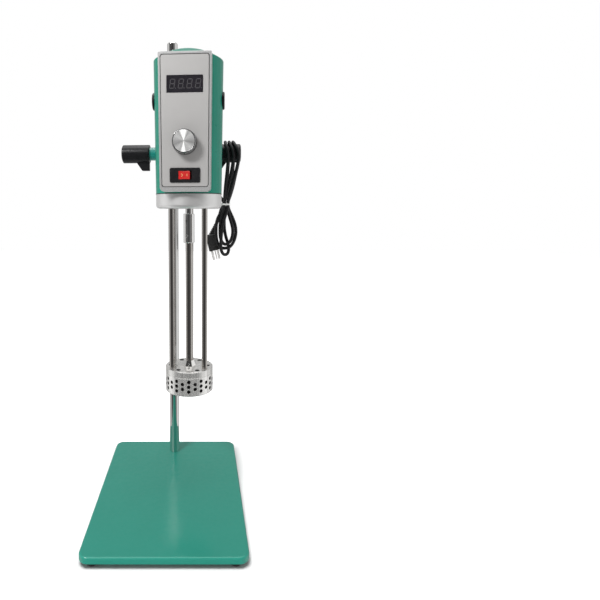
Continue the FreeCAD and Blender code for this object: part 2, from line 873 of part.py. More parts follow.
def bearing_bracket():
    body = new_body("bearing_bracket", HEAD)
    low = d.upper_bearing_z - 2
    top = d.upper_bearing_z + d.bracket_thickness
    seat = d.bearing_radius + d.bearing_seat_clearance
    rim = d.housing_bore_radius - d.spigot_clearance
    lathe(
        body,
        [(d.shaft_hole_radius, low), (seat + 4, low), (seat + 4, low + 5), (rim - 5, low + 5)]
        + [(rim - 5, low), (rim, low), (rim, top), (rim - 5, top), (rim - 5, top - 3)]
        + [(seat + 3, top - 3), (seat + 3, top), (seat, top), (seat, d.upper_bearing_z)]
        + [(d.shaft_hole_radius, d.upper_bearing_z)],
    )
    sketch = new_sketch(body, "XY_Plane", out=low)
    circle(sketch, 0, -d.bolt_circle_radius, d.motor_bolt_radius + d.rod_clearance)
    holes = cut(body, sketch, d.bracket_thickness + 2)
    around(body, [holes], 3)


def field_stack():
    body = new_body("field_stack", HEAD)
    low, top = d.stack_bottom, d.stack_bottom + d.stack_length
    lathe(body, post(low, top, d.field_radius, d.armature_radius + d.armature_gap))
    sketch = new_sketch(body, "XY_Plane", out=low)
    circle(sketch, 0, -d.bolt_circle_radius, d.motor_bolt_radius + d.motor_bolt_clearance)
    holes = cut(body, sketch, d.stack_length)
    around(body, [holes], 3)


def field_coils():
    body = new_body("field_coils", HEAD)
    inner = d.armature_radius + d.armature_gap
    for low in (d.stack_bottom - d.coil_height, d.stack_bottom + d.stack_length):
        lathe(body, post(low, low + d.coil_height, d.coil_radius, inner))


def brush_parts():
    z = d.brush_z
    tip = d.commutator_radius + d.brush_gap
    holder = new_body("brush_holders", HEAD)
    for side in (-1, 1):
        start, end = side * d.brush_holder_inner, side * (d.brush_cap_seat - 0.1)
        lathe(holder, bar(start, end, d.brush_holder_radius, d.brush_holder_bore), "X", z=z)
    caps = new_body("brush_caps", HEAD)
    inside = d.brush_cap_seat - 6
    neck = d.brush_holder_bore - d.rod_clearance
    for side in (-1, 1):
        face, seat, deep = side * d.brush_cap_outer, side * d.brush_cap_seat, side * inside
        rim = d.brush_cap_radius
        lathe(
            caps,
            [(deep, 0), (face, 0), (face, rim - 1), (face - side, rim)]
            + [(seat, rim), (seat, neck), (deep, neck)],
            "X",
            z=z,
        )
        sketch = new_sketch(caps, "YZ_Plane", out=face)
        half = d.brush_cap_slot_width / 2
        rectangle(sketch, 1 - d.brush_cap_radius, d.brush_cap_radius - 1, z - half, z + half)
        cut(caps, sketch, d.brush_cap_slot_depth, back=side > 0)
    brushes = new_body("carbon_brushes", HEAD)
    half_y, half_z = d.brush_thickness / 2, d.brush_width / 2
    for side in (-1, 1):
        sketch = new_sketch(brushes, "YZ_Plane", out=side * tip)
        rectangle(sketch, -half_y, half_y, z - half_z, z + half_z)
        extrude(brushes, sketch, d.brush_length, back=side < 0)
    springs = new_body("brush_springs", HEAD)
    for side in (-1, 1):
        start = side * (tip + d.brush_length)
        bore = d.brush_spring_radius - d.brush_spring_wall
        lathe(springs, bar(start, side * inside, d.brush_spring_radius, bore), "X", z=z)


# Turning parts of the motor


def armature():
    low, top = d.stack_bottom, d.stack_bottom + d.stack_length
    r = d.shaft_radius
    bottom = -d.coupling_drop - d.coupling_length / 2 + d.shaft_end_gap / 2
    end = d.upper_bearing_z + d.bearing_width + 2
    shaft = new_body("motor_shaft", HEAD)
    foot, tip = [(0, bottom), (r - 0.5, bottom), (r, bottom + 0.5)], [(r, end - 0.5), (r - 0.5, end), (0, end)]
    lathe(shaft, foot + tip)
    core = new_body("armature_core", HEAD)
    lathe(core, post(low, top, d.armature_radius, r))
    sketch = new_sketch(core, "XY_Plane", out=low)
    rectangle(sketch, -1, 1, d.armature_radius - 6, d.armature_radius + 1)
    slot = cut(core, sketch, d.stack_length)
    around(core, [slot], 12)
    windings = new_body("armature_windings", HEAD)
    for start in (low - d.winding_height, top):
        lathe(windings, post(start, start + d.winding_height, d.winding_radius, r))
    commutator = new_body("commutator", HEAD)
    half = d.commutator_length / 2
    lathe(commutator, post(d.brush_z - half, d.brush_z + half, d.commutator_radius, r))


def cooling_fan():
    body = new_body("cooling_fan", HEAD)
    low = d.fan_bottom
    lathe(body, post(low, low + d.fan_hub_height, d.fan_hub_radius, d.shaft_radius))
    lathe(body, post(low, low + d.fan_disc_thickness, d.fan_radius, d.shaft_radius))
    sketch = new_sketch(body, "XY_Plane", out=low)
    half = d.fan_blade_thickness / 2
    rectangle(sketch, -half, half, d.fan_hub_radius - 1, d.fan_radius)
    blade = extrude(body, sketch, d.fan_height)
    around(body, [blade], d.fan_blades)


def coupling():
    body = new_body("coupling", HEAD)
    top = -d.coupling_drop
    bottom = top - d.coupling_length
    bore, outer, edge = d.shaft_radius + 0.02, d.coupling_radius, d.coupling_chamfer
    lathe(
        body,
        [(bore, bottom), (outer - edge, bottom), (outer, bottom + edge)]
        + [(outer, top - edge), (outer - edge, top), (bore, top)],
    )
    screws = new_body("coupling_screws", HEAD)
    turn = d.coupling_screw_angle
    for z in (top - d.coupling_screw_inset, bottom + d.coupling_screw_inset):
        for item, kind, extra in ((body, "Pocket", d.rod_clearance), (screws, "Pad", as_size(0))):
            start = d.shaft_radius + 0.05
            sketch = new_sketch(item, "XZ_Plane", up=z)
            spot = sketch.AttachmentOffset.Base
            sketch.AttachmentOffset = Placement(spot, Rotation(Vector(0, 1, 0), 90 - turn.value))
            sketch.setExpression("AttachmentOffset.Rotation.Angle", (90 - turn).formula)
            circle(sketch, 0, 0, d.coupling_screw_radius + extra)
            if kind == "Pocket":
                cut(item, sketch, d.coupling_radius + 1)
            else:
                extrude(item, sketch, d.coupling_radius - 0.4)
                lathe(item, post(z - 3, z + 3, start, 0), kind="Groove")


def drive_shaft():
    body = new_body("drive_shaft", HEAD)
    r = d.shaft_radius
    top = -d.coupling_drop - d.coupling_length / 2 - d.shaft_end_gap / 2
    stator_top = -d.rod_length
    seat = stator_top - d.stator_height + d.stator_floor + d.rotor_lift
    thread = r - 1
    bottom = seat - d.rotor_nut_height - 1
    lathe(
        body,
        [(0, bottom), (thread - 0.5, bottom), (thread, bottom + 0.5), (thread, seat + 0.5), (r, seat + 0.5)]
        + [(r, top - 0.5), (r - 0.5, top), (0, top)],
    )


# Work head


def support_rod(name, turn):
    x, y = polar(d.rod_circle_radius, turn)
    body = new_body(name, HEAD)
    r, low, top = d.rod_radius, -d.rod_length, d.rod_socket_depth
    hole = d.stator_screw_radius + d.rod_clearance
    deep = low + d.stator_screw_grip + 1
    skin = [(hole, low), (r, low), (r, top - 0.5), (r - 0.5, top), (0, top)]
    lathe(body, skin + [(0, deep), (hole, deep)], x=x, y=y)


def stator_top_plate():
    body = new_body("stator_top_plate", HEAD)
    top = -d.rod_length
    low = top - d.stator_plate_height
    spigot = d.stator_radius - d.stator_wall - d.rod_clearance
    bore = d.bush_spigot_radius + d.rod_clearance
    edge, seam = as_size(0.6), d.stator_seam
    lathe(
        body,
        [(bore, low - d.stator_spigot_height), (spigot, low - d.stator_spigot_height), (spigot, low)]
        + [(d.stator_radius - seam, low), (d.stator_radius, low + seam), (d.stator_radius, top - edge)]
        + [(d.stator_radius - edge, top), (bore, top)],
    )
    deep = d.stator_plate_height + d.stator_spigot_height
    sketch = new_sketch(body, "XY_Plane", out=low - d.stator_spigot_height)
    circle(sketch, d.rod_circle_radius, 0, d.flow_hole_radius)
    flow = cut(body, sketch, deep)
    around(body, [flow], 6)
    sketch = new_sketch(body, "XY_Plane", out=low - d.stator_spigot_height)
    circle(sketch, 0, d.rod_circle_radius, d.stator_screw_radius + d.rod_clearance)
    holes = cut(body, sketch, deep)
    around(body, [holes], 3)
    sketch = new_sketch(body, "XY_Plane", out=low - d.stator_spigot_height)
    circle(sketch, 0, d.rod_circle_radius, d.stator_screw_head_radius + d.motor_bolt_clearance)
    heads = cut(body, sketch, d.stator_screw_head_height + 0.4)
    around(body, [heads], 3)


def stator_screws():
    body = new_body("stator_screws", HEAD)
    low = -d.rod_length - d.stator_plate_height - d.stator_spigot_height
    seat = low + d.stator_screw_head_height + 0.4
    head, shank = d.stator_screw_head_radius, d.stator_screw_radius
    tip = -d.rod_length + d.stator_screw_grip
    screw = lathe(
        body,
        [(0, low + 0.4), (head, low + 0.4), (head, seat), (shank, seat), (shank, tip), (0, tip)],
        y=d.rod_circle_radius,
    )
    around(body, [screw], 3)


def shaft_bush():
    body = new_body("shaft_bush", HEAD)
    top = -d.rod_length
    low = top - d.stator_plate_height - d.stator_spigot_height
    bore = d.shaft_radius + d.shaft_clearance
    sketch = new_sketch(body, "XY_Plane", out=top)
    hexagon(sketch, 0, 0, d.bush_radius)
    flats = extrude(body, sketch, d.bush_height)
    flats.TaperAngle = d.bush_taper.value
    flats.setExpression("TaperAngle", d.bush_taper.formula)
    sketch = new_sketch(body, "XY_Plane", out=low)
    circle(sketch, 0, 0, d.bush_spigot_radius)
    extrude(body, sketch, top - low)
    sketch = new_sketch(body, "XY_Plane", out=low)
    circle(sketch, 0, 0, bore)
    cut(body, sketch, top - low + d.bush_height)
    sketch = new_sketch(body, "XZ_Plane", out=d.bush_radius)
    circle(sketch, 0, top + d.bush_screw_height, d.bush_screw_radius)
    cut(body, sketch, d.bush_radius - d.bush_screw_depth, back=True)


def stator_skirt():
    body = new_body("stator_skirt", HEAD)
    bottom = -d.rod_length - d.stator_height
    top = -d.rod_length - d.stator_plate_height
    inner = d.stator_radius - d.stator_wall
    floor = bottom + d.stator_floor
    lathe(
        body,
        [(d.stator_intake_radius, bottom), (d.stator_radius - 0.5, bottom), (d.stator_radius, bottom + 0.5)]
        + [(d.stator_radius, top - d.stator_seam), (d.stator_radius - d.stator_seam, top), (inner, top)]
        + [(inner, floor), (d.stator_intake_radius, floor)],
    )
    # The column of three holes that faces the front stands square to the stand, not to the turned head.
    for first, rows in ((0, (-1, 0, 1)), (1, (-0.5, 0.5))):
        turn = as_size(first * 360) / d.stator_columns - 90 - d.head_turn
        sketch = new_sketch(body, "XZ_Plane")
        sketch.AttachmentOffset = Placement(Vector(), Rotation(Vector(0, 1, 0), turn.value + 90))
        sketch.setExpression("AttachmentOffset.Rotation.Angle", (turn + 90).formula)
        for row in rows:
            rise = d.stator_hole_z - 2.6 + row * d.stator_hole_pitch
            circle(sketch, 0, bottom + rise, d.stator_hole_radius)
        holes = cut(body, sketch, d.stator_radius)
        around(body, [holes], d.stator_columns / 2)


def rotor():
    body = new_body("rotor", HEAD)
    low = -d.rod_length - d.stator_height + d.stator_floor + d.rotor_lift
    top = low + d.rotor_height
    reach = d.stator_radius - d.stator_wall - d.rotor_gap
    web = low + d.rotor_web_lift
    bore = d.shaft_radius
    hole = bore - 1
    lathe(
        body,
        [(hole, low), (d.rotor_hub_radius, low), (d.rotor_hub_radius, web), (reach, web)]
        + [(reach, web + d.rotor_web_thickness), (d.rotor_hub_radius, web + d.rotor_web_thickness)]
        + [(d.rotor_hub_radius, top), (bore, top), (bore, low + 0.5), (hole, low + 0.5)],
    )
    sketch = new_sketch(body, "XY_Plane", out=low)
    half = d.rotor_blade_thickness / 2
    rectangle(sketch, -half, half, d.rotor_blade_root, reach - 0.1)
    blade = extrude(body, sketch, d.rotor_height)
    around(body, [blade], d.rotor_blades)


def rotor_nut():
    body = new_body("rotor_nut", HEAD)
    top = -d.rod_length - d.stator_height + d.stator_floor + d.rotor_lift
    sketch = new_sketch(body, "XY_Plane", out=top - d.rotor_nut_height)
    hexagon(sketch, 0, 0, d.rotor_nut_radius)
    circle(sketch, 0, 0, d.shaft_radius - 1)
    extrude(body, sketch, d.rotor_nut_height)


# Front panel


def panel_halves(inset_side, inset_bottom, inset_top):
    """Corners of the panel's tapering outline, moved in at its sides, bottom and top."""
    low, high = d.panel_bottom + inset_bottom, d.panel_top - inset_top
    bottom = d.panel_bottom_width / 2 - inset_side
    top = d.panel_top_width / 2 - inset_side
    return [(-bottom, low), (bottom, low), (top, high), (-top, high)]


def panel_box():
    body = new_body("panel_box", HEAD)
    rise = d.panel_slope_rise
    sketch = new_sketch(body, "XZ_Plane", out=d.panel_front)
    outline(sketch, panel_halves(0, 0, -rise))
    extrude(body, sketch, d.panel_front - d.panel_back, back=True)
    round_off(body, d.panel_corner_radius, lambda a, b, m: front_to_back(a, b, m) and m.z < 100)
    round_off(body, d.panel_top_corner_radius, lambda a, b, m: front_to_back(a, b, m) and m.z > 100)
    sketch = new_sketch(body, "YZ_Plane")
    slope = d.panel_front - d.cap_rim_radius
    high = d.panel_top + rise
    outline(sketch, [(-d.panel_front, d.panel_top), (slope - d.panel_front, high)]
            + [(slope - d.panel_front, high + 5)]
            + [(-d.panel_front - 1, high + 5), (-d.panel_front - 1, d.panel_top)])
    cut(body, sketch, d.panel_top_width + 2, middle=True)
    gap = d.panel_seat_clearance
    seam = d.flange_height
    above = high + d.panel_seat_clearance
    skin = housing_profile(gap) + [(d.cap_rim_radius + gap, above)]
    lathe(body, [(0, seam)] + skin + [(0, above)], kind="Groove")
    rim, foot, clear = d.plate_rim, d.plate_rim_bottom, d.face_seam
    sketch = new_sketch(body, "XZ_Plane", out=d.panel_front)
    outline(sketch, panel_halves(rim - clear, foot - clear, 2.4 - clear))
    cut(body, sketch, d.face_plate_thickness, back=True)
    side = d.panel_bottom_width.value / 2 - 1
    low, tall = d.panel_bottom.value + 1, d.panel_top.value - 1
    round_off(body, d.face_corner_radius + clear,
              lambda a, b, m: front_to_back(a, b, m) and abs(m.x) < side and low < m.z < tall)
    ledge = d.face_ledge
    sketch = new_sketch(body, "XZ_Plane", out=d.panel_front)
    outline(sketch, panel_halves(rim + ledge, foot + ledge, ledge + 2.4))
    cut(body, sketch, d.panel_front - d.panel_back, back=True)


def face_plate():
    body = new_body("face_plate", HEAD)
    sketch = new_sketch(body, "XZ_Plane", out=d.panel_front)
    outline(sketch, panel_halves(d.plate_rim, d.plate_rim_bottom, 2.4))
    extrude(body, sketch, d.face_plate_thickness, back=True)
    round_off(body, d.face_corner_radius, front_to_back)
    thick = d.face_plate_thickness
    clear = d.face_clearance
    sketch = new_sketch(body, "XZ_Plane", out=d.panel_front)
    half_w, half_h = d.display_width / 2 + clear, d.display_height / 2 + clear
    rectangle(sketch, -half_w, half_w, d.display_z - half_h, d.display_z + half_h)
    cut(body, sketch, thick, back=True)
    sketch = new_sketch(body, "XZ_Plane", out=d.panel_front)
    circle(sketch, 0, d.speed_knob_z, d.pot_shaft_radius + 1)
    cut(body, sketch, thick, back=True)
    sketch = new_sketch(body, "XZ_Plane", out=d.panel_front)
    half_w, half_h = d.switch_body_width / 2 + clear, d.rocker_height / 2 + 1.5 + clear
    rectangle(sketch, -half_w, half_w, d.bezel_z - half_h, d.bezel_z + half_h)
    cut(body, sketch, thick, back=True)


def panel_block(name, width, height, z, front, back, corner=None):
    """A block on the panel from its front face to its back, both measured from the head's axis."""
    body = new_body(name, HEAD)
    sketch = new_sketch(body, "XZ_Plane", out=front)
    rectangle(sketch, -width / 2, width / 2, z - height / 2, z + height / 2)
    extrude(body, sketch, front - back, back=True)
    if corner is not None:
        round_off(body, corner, front_to_back)
    return body


def board_front():
    """The board's front face: just behind the speed control, and the display stands on it."""
    return d.panel_front - d.face_plate_thickness - 0.05 - d.pot_body_depth - 1


def display_parts():
    front = d.panel_front
    panel_block("display_window", d.display_width, d.display_height, d.display_z,
                front + d.display_proud, front - d.face_plate_thickness, d.display_corner_radius)
    back = front - d.face_plate_thickness - 0.05
    panel_block("display_module", d.display_width + 4, d.display_height + 3, d.display_z,
                back, board_front())


def control_parts():
    behind = d.panel_front - d.face_plate_thickness - 0.05
    pot = new_body("potentiometer", HEAD)
    back = behind - d.pot_body_depth
    tip = d.panel_front + d.speed_knob_height - 4
    r, body_r = d.pot_shaft_radius, d.pot_body_radius
    z = d.speed_knob_z
    bore = r + d.shaft_clearance
    lathe(pot, [(-back, 0), (-back, body_r), (-behind, body_r), (-behind, bore)]
          + [(3 - behind, bore), (3 - behind, 0)],
          "Y", z=z)
    spindle = new_body("speed_spindle", HEAD)
    lathe(spindle, [(2.9 - behind, 0), (2.9 - behind, r), (-tip, r), (-tip, 0)], "Y", z=z)
    knob = new_body("speed_knob", HEAD)
    face = d.panel_front + d.speed_knob_gap
    skirt_top = face + d.speed_knob_skirt_height
    end = face + d.speed_knob_height
    skirt, main = d.speed_knob_skirt_radius, d.speed_knob_radius
    lathe(
        knob,
        [(-face, bore), (-face, skirt), (-skirt_top, skirt), (-skirt_top, main), (1 - end, main)]
        + [(-end, main - 1), (-end, 0), (0.3 - tip - 0.6, 0), (0.3 - tip - 0.6, bore)],
        "Y",
        z=z,
    )
    front = board_front()
    panel_block("control_board", d.board_width, d.board_height, d.board_z, front, front - d.board_thickness)


def switch_parts():
    front = d.panel_front
    z = d.bezel_z
    proud = front + d.bezel_proud
    bezel = panel_block("switch_bezel", d.bezel_width, d.bezel_height, z,
                        proud, front, d.bezel_corner_radius)
    sketch = new_sketch(bezel, "XZ_Plane", out=proud)
    half_w, half_h = d.rocker_width / 2 + d.rocker_end_gap, d.rocker_height / 2 + d.rocker_side_gap
    rectangle(sketch, -half_w, half_w, z - half_h, z + half_h)
    cut(bezel, sketch, d.bezel_proud, back=True)
    width, height = d.switch_body_width, d.rocker_height + 3
    block = panel_block("switch_body", width, height, z, front - 0.05, front - d.switch_body_depth)
    sketch = new_sketch(block, "XZ_Plane", out=front)
    rectangle(sketch, -half_w, half_w, z - half_h, z + half_h)
    cut(block, sketch, d.switch_body_depth - 3, back=True)
    rocker = new_body("power_rocker", HEAD)
    half, foot = d.rocker_width / 2, d.rocker_root_width / 2
    pivot = front - d.rocker_pivot_depth
    tall = proud + d.rocker_proud - pivot
    sketch = new_sketch(rocker, "XY_Plane", up=-pivot, out=z - d.rocker_height / 2)
    spot = sketch.AttachmentOffset.Base
    sketch.AttachmentOffset = Placement(spot, Rotation(Vector(0, 0, 1), -d.rocker_tilt.value))
    sketch.setExpression("AttachmentOffset.Rotation.Angle", (-d.rocker_tilt).formula)
    deep = d.rocker_root_depth
    outline(sketch, [(-half, -tall), (0, d.rocker_dish - tall), (half, -tall), (foot, deep), (-foot, deep)])
    extrude(rocker, sketch, d.rocker_height)


# Supply cord

LEAD_ROUTE = [(59, -17.5, -53.5), (59, -8.5, -53.5), (62, -1, -56), (68, 5, -61), (74, 7.5, -70)]
TAIL_ROUTE = [(75.2, 3.4, -85), (74, 5.4, -91), (72.2, 8, -97.5), (70.4, 9, -103.4), (67.6, 9, -109.7)]


def tube(points, radius):
    """A tube along straight runs joined by tangent arcs, as large as the runs allow."""
    spots = [Vector(*p) for p in points]
    edges = []
    start = spots[0]
    radii = []
    for before, corner, after in zip(spots, spots[1:], spots[2:]):
        run_in, run_out = corner - before, after - corner
        turn = run_in.getAngle(run_out)
        reach = 0.45 * min(run_in.Length, run_out.Length)
        radii.append(reach / math.tan(turn / 2))
        first = corner - run_in.normalize() * reach
        last = corner + run_out.normalize() * reach
        bisector = ((first + last) / 2 - corner).normalize()
        sag = radii[-1] / math.cos(turn / 2) - radii[-1]
        edges.append(Part.LineSegment(start, first).toShape())
        edges.append(Part.Arc(first, corner + bisector * sag, last).toShape())
        start = last
    edges.append(Part.LineSegment(start, spots[-1]).toShape())
    path = Part.Wire(edges)
    direction = spots[1] - spots[0]
    disc = Part.Face(Part.Wire(Part.makeCircle(radius, spots[0], direction)))
    swept = Part.Wire(disc.OuterWire)
    solid = path.makePipeShell([swept], True, False)
    ideal = math.pi * radius**2 * path.Length
    print(f"tube length {path.Length:.1f}, radii {[round(r, 1) for r in radii]},"
          f" volume ratio {solid.Volume / ideal:.4f}")
    return solid


def cord_tube(name, route):
    item = doc.addObject("Part::Feature", name)
    item.Label = name
    item.Shape = tube(route, d.cord_radius.value)
    place(item, CLAMP)
    NODES.append(item)


def cord_gland():
    body = new_body("cord_gland", HEAD)
    skin = gland_seat()
    neck, head, bore = d.gland_neck_radius, d.gland_radius, d.cord_radius + d.rod_clearance
    end = d.head_reach + LEAD_ROUTE[0][1]
    lathe(
        body,
        [(skin - d.gland_insert, bore), (skin - d.gland_insert, neck), (skin, neck), (skin, head)]
        + [(skin + 4, head), (end + 5, bore + 1), (end + 5, bore)],
        "Y",
        x=d.gland_offset,
        z=d.gland_z,
    )


def cord_hank():
    body = new_body("cord_hank", CLAMP)
    inner = d.knob_radius + d.hank_knob_gap
    outer = inner + 2 * d.cord_radius
    half = d.hank_width / 2
    waist, drop = d.hank_waist_depth / 2, -d.hank_waist_drop
    straight = d.hank_waist_height
    middle = d.hank_centre + d.hank_waist_offset
    side = d.hank_waist_width / 2
    left = middle - side
    sketch = new_sketch(body, "YZ_Plane", out=left)
    outline(sketch, [(outer, 0, outer), (0, outer, outer), (-outer, 0)]
            + [(-waist, drop + straight), (-waist, drop)]
            + [(waist, drop), (waist, drop + straight)])
    extrude(body, sketch, d.hank_centre + half - left)
    sketch = new_sketch(body, "YZ_Plane", out=left)
    outline(sketch, [(inner, 0, inner), (0, inner, inner), (-inner, 0), (-2.6, drop + 13), (2.6, drop + 13)])
    cut(body, sketch, d.hank_centre + half - left)
    for sign in (-1, 1):
        edge, near_side = d.hank_centre + sign * half, middle + sign * side
        sketch = new_sketch(body, "XZ_Plane")
        far = edge + sign * 20
        outline(sketch, [(near_side, drop - 2), (near_side, drop + straight), (edge, -12), (edge, 25)]
                + [(far, 25), (far, drop - 2)])
        cut(body, sketch, 60, middle=True)
    sketch = new_sketch(body, "XZ_Plane")
    low = [(-side, drop), (-side, drop - straight), (-side - 2, drop - 26), (-side - 3.6, drop - 50)]
    low += [(-side - 1, drop - 68), (1 - side, drop - 79), (5 - side, drop - 79), (side - 1, drop - 66)]
    low += [(side + 5, drop - 54), (side + 10.5, drop - 43), (side + 10.5, drop - 30), (side + 4, drop - 10)]
    low += [(side, drop - straight), (side, drop)]
    outline(sketch, [(middle + u, v) for u, v in low])
    extrude(body, sketch, d.hank_waist_depth, middle=True)
    bulge = [(1 - side, drop - 8), (-side - 6, drop - 26)]
    bulge += [(-side - 12.5, drop - 46), (-side - 12.5, drop - 58)]
    bulge += [(-side - 6, drop - 68), (1 - side, drop - 70)]
    sketch = new_sketch(body, "XZ_Plane", out=waist)
    outline(sketch, [(middle + u, v) for u, v in bulge])
    extrude(body, sketch, waist - 1, back=True)


def cord_tie():
    body = new_body("cord_tie", CLAMP)
    middle = d.hank_centre + d.hank_waist_offset
    half_w = d.hank_waist_width / 2 + d.tie_clearance
    half_d = d.hank_waist_depth / 2 + d.tie_clearance
    thick = d.tie_thickness
    sketch = new_sketch(body, "XY_Plane", out=-d.hank_waist_drop - d.tie_height / 2)
    rectangle(sketch, middle - half_w - thick, middle + half_w + thick, -half_d - thick, half_d + thick)
    rectangle(sketch, middle - half_w, middle + half_w, -half_d, half_d)
    extrude(body, sketch, d.tie_height)


def plug():
    """The moulded plug: its strain relief follows the cord, and its body and pins lean the other way."""
    x, y, z = TAIL_ROUTE[-1]
    neck, wide, deep = d.plug_neck_length.value, d.plug_width.value, d.plug_depth.value
    long, pin_wide, pin_thick = d.plug_length.value, d.plug_pin_width.value, d.plug_pin_thickness.value
    top = Placement(Vector(x, y, z), Rotation(Vector(0, 1, 0), d.plug_neck_lean.value))
    joint = top.multVec(Vector(0, 0, -neck))
    cone = Part.makeCone(d.plug_neck_root.value, d.plug_neck_radius.value, neck, Vector(0, 0, -neck))
    relief = cone.transformShape(top.toMatrix(), True) or cone
    overlap = 3
    shell = Part.makeBox(wide, deep, long + overlap, Vector(-wide / 2, -deep / 2, -long))
    uprights = [e for e in shell.Edges if near(e.Vertexes[0].X, e.Vertexes[-1].X)
                and near(e.Vertexes[0].Y, e.Vertexes[-1].Y)]
    shell = shell.makeFillet(d.plug_corner_radius.value, uprights)
    pins = []
    spread = d.plug_pin_spread.value
    for px, py, turn in ((-spread, -2, 30), (spread, -2, -30), (0, 4, 0)):
        corner = Vector(-pin_wide / 2, -pin_thick / 2, -long - d.plug_pin_length.value)
        pin = Part.makeBox(pin_wide, pin_thick, d.plug_pin_length.value + 2, corner)
        pin.rotate(Vector(), Vector(0, 0, 1), turn)
        pin.translate(Vector(px, py, 0))
        pins.append(pin)
    for pin in pins:
        shell = shell.cut(pin)
    leaning = Placement(joint, Rotation(Vector(0, 1, 0), -d.plug_lean.value)).toMatrix()
    body = shell.transformShape(leaning, True) or shell
    blades = Part.Compound(pins)
    blades = blades.transformShape(leaning, True) or blades
    for name, shape in (("plug_body", body.fuse(relief)), ("plug_pins", blades)):
        item = doc.addObject("Part::Feature", name)
        item.Label = name
        item.Shape = shape
        place(item, CLAMP)
        NODES.append(item)


def check_and_write():
    bad = [o.Label for o in doc.Objects if "Invalid" in o.State or "Error" in o.State]
    for o in doc.Objects:
        if o.TypeId in ("PartDesign::Pocket", "PartDesign::Groove"):
            if o.Shape.Volume >= o.BaseFeature.Shape.Volume - 1e-6:
                bad.append(o.Label + " cuts nothing")
    for node in NODES:
        if node.Shape.isNull() or not node.Shape.isValid():
            bad.append(node.Label + " has no valid shape")
    if bad:
        raise RuntimeError("; ".join(bad))
    os.makedirs("parts", exist_ok=True)
    for node in NODES:
        node.Shape.exportStep(f"parts/{node.Label}.step")
        print(f"{node.Label}: {len(node.Shape.Solids)} solids, {node.Shape.Volume:.0f} mm3")


base_plate()
base_feet()
foot_screws()
column()
column_bolt()
clamp_body()
head_rod()
clamp_knob(-1, d.clamp_left + d.clamp_boss_length, -d.column_radius)
clamp_knob(1, d.clamp_right + d.clamp_boss_length, d.head_offset + d.head_rod_radius)
motor_housing()
top_cap()
cap_screws()
lower_flange()
motor_bolts()
bearing("lower_bearing", d.lower_bearing_z)
bearing("upper_bearing", d.upper_bearing_z)
bearing_bracket()
field_stack()
field_coils()
brush_parts()
armature()
cooling_fan()
coupling()
drive_shaft()
support_rod("support_rod_left", 90 + d.rod_spread)
support_rod("support_rod_right", 90 - d.rod_spread)
support_rod("support_rod_rear", as_size(90))
stator_top_plate()
stator_screws()
shaft_bush()
stator_skirt()
rotor()
rotor_nut()
panel_box()
face_plate()
display_parts()
control_parts()
switch_parts()
cord_gland()
cord_tube("cord_lead", LEAD_ROUTE)
cord_hank()
cord_tie()
cord_tube("cord_tail", TAIL_ROUTE)
plug()
doc.recompute()
check_and_write()
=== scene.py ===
import logging
from dataclasses import dataclass, field
from enum import Enum
from math import cos, pi, radians, sin, tan
from typing import Callable, Sequence

import bmesh
import bpy
from mathutils import Matrix, Vector


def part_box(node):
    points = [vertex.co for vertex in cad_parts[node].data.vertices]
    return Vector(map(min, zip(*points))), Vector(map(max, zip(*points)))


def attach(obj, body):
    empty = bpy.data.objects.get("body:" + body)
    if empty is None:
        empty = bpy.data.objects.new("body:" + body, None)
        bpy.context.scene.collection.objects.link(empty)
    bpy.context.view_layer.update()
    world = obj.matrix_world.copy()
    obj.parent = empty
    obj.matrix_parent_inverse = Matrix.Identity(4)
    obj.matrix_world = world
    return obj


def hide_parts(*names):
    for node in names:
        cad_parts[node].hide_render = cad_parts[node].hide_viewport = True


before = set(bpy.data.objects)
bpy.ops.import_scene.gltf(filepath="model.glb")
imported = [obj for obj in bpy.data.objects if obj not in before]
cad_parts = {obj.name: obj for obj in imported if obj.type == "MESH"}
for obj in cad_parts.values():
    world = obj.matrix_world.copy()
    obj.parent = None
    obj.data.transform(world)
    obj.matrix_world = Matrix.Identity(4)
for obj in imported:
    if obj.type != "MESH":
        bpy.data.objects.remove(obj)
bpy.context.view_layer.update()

log = logging.getLogger("high_shear_mixer")
Colour = tuple[float, float, float]
Point = tuple[float, float, float]
Pair = tuple[float, float]
Piece = bpy.types.Object
Socket = bpy.types.NodeSocket
Test = Callable[[Vector, Vector], bool]

# Where the head, the clamp and the stand have their own frames. Inside them lengths are in millimetres.
MILLIMETRE = 0.001
HEAD_TURN = radians(-4.0)
HEAD = Matrix.Translation((0.026251, 0.038001, 0.4135)) @ Matrix.Rotation(HEAD_TURN, 4, "Z")
CLAMP = Matrix.Translation((0.0, 0.107, 0.499)) @ Matrix.Rotation(HEAD_TURN, 4, "Z")
STAND = Matrix.Identity(4)

# How near to a direction an edge (in millimetres) or a normal counts as along it.
STRAIGHT = 0.001
FACING = 0.9

# Doubles (in millimetres) and flat edges (in degrees) in a CAD node's mesh, and the least sharp edge.
CAD_DOUBLES = 0.002
CAD_FLAT = 0.5
SMOOTH_BELOW = 40.0


# Modelling


def deselect() -> None:
    """Leaves nothing selected."""
    bpy.ops.object.select_all(action="DESELECT")


def take(piece: Piece) -> None:
    """Makes a piece the only selected and active one.

    Args:
        piece: The piece to work on.
    """
    deselect()
    piece.select_set(True)
    bpy.context.view_layer.objects.active = piece


def begin(name: str) -> Piece:
    """Starts a piece in edit mode as one loose point in the middle of its frame.

    Args:
        name: The piece's name.

    Returns:
        The new piece, with its point selected.
    """
    deselect()
    bpy.ops.mesh.primitive_plane_add(size=1)
    piece = bpy.context.object
    piece.name = piece.data.name = name
    bpy.ops.object.mode_set(mode="EDIT")
    bpy.ops.mesh.select_mode(type="VERT")
    bpy.ops.mesh.select_all(action="SELECT")
    bpy.ops.mesh.merge(type="CENTER")
    return piece


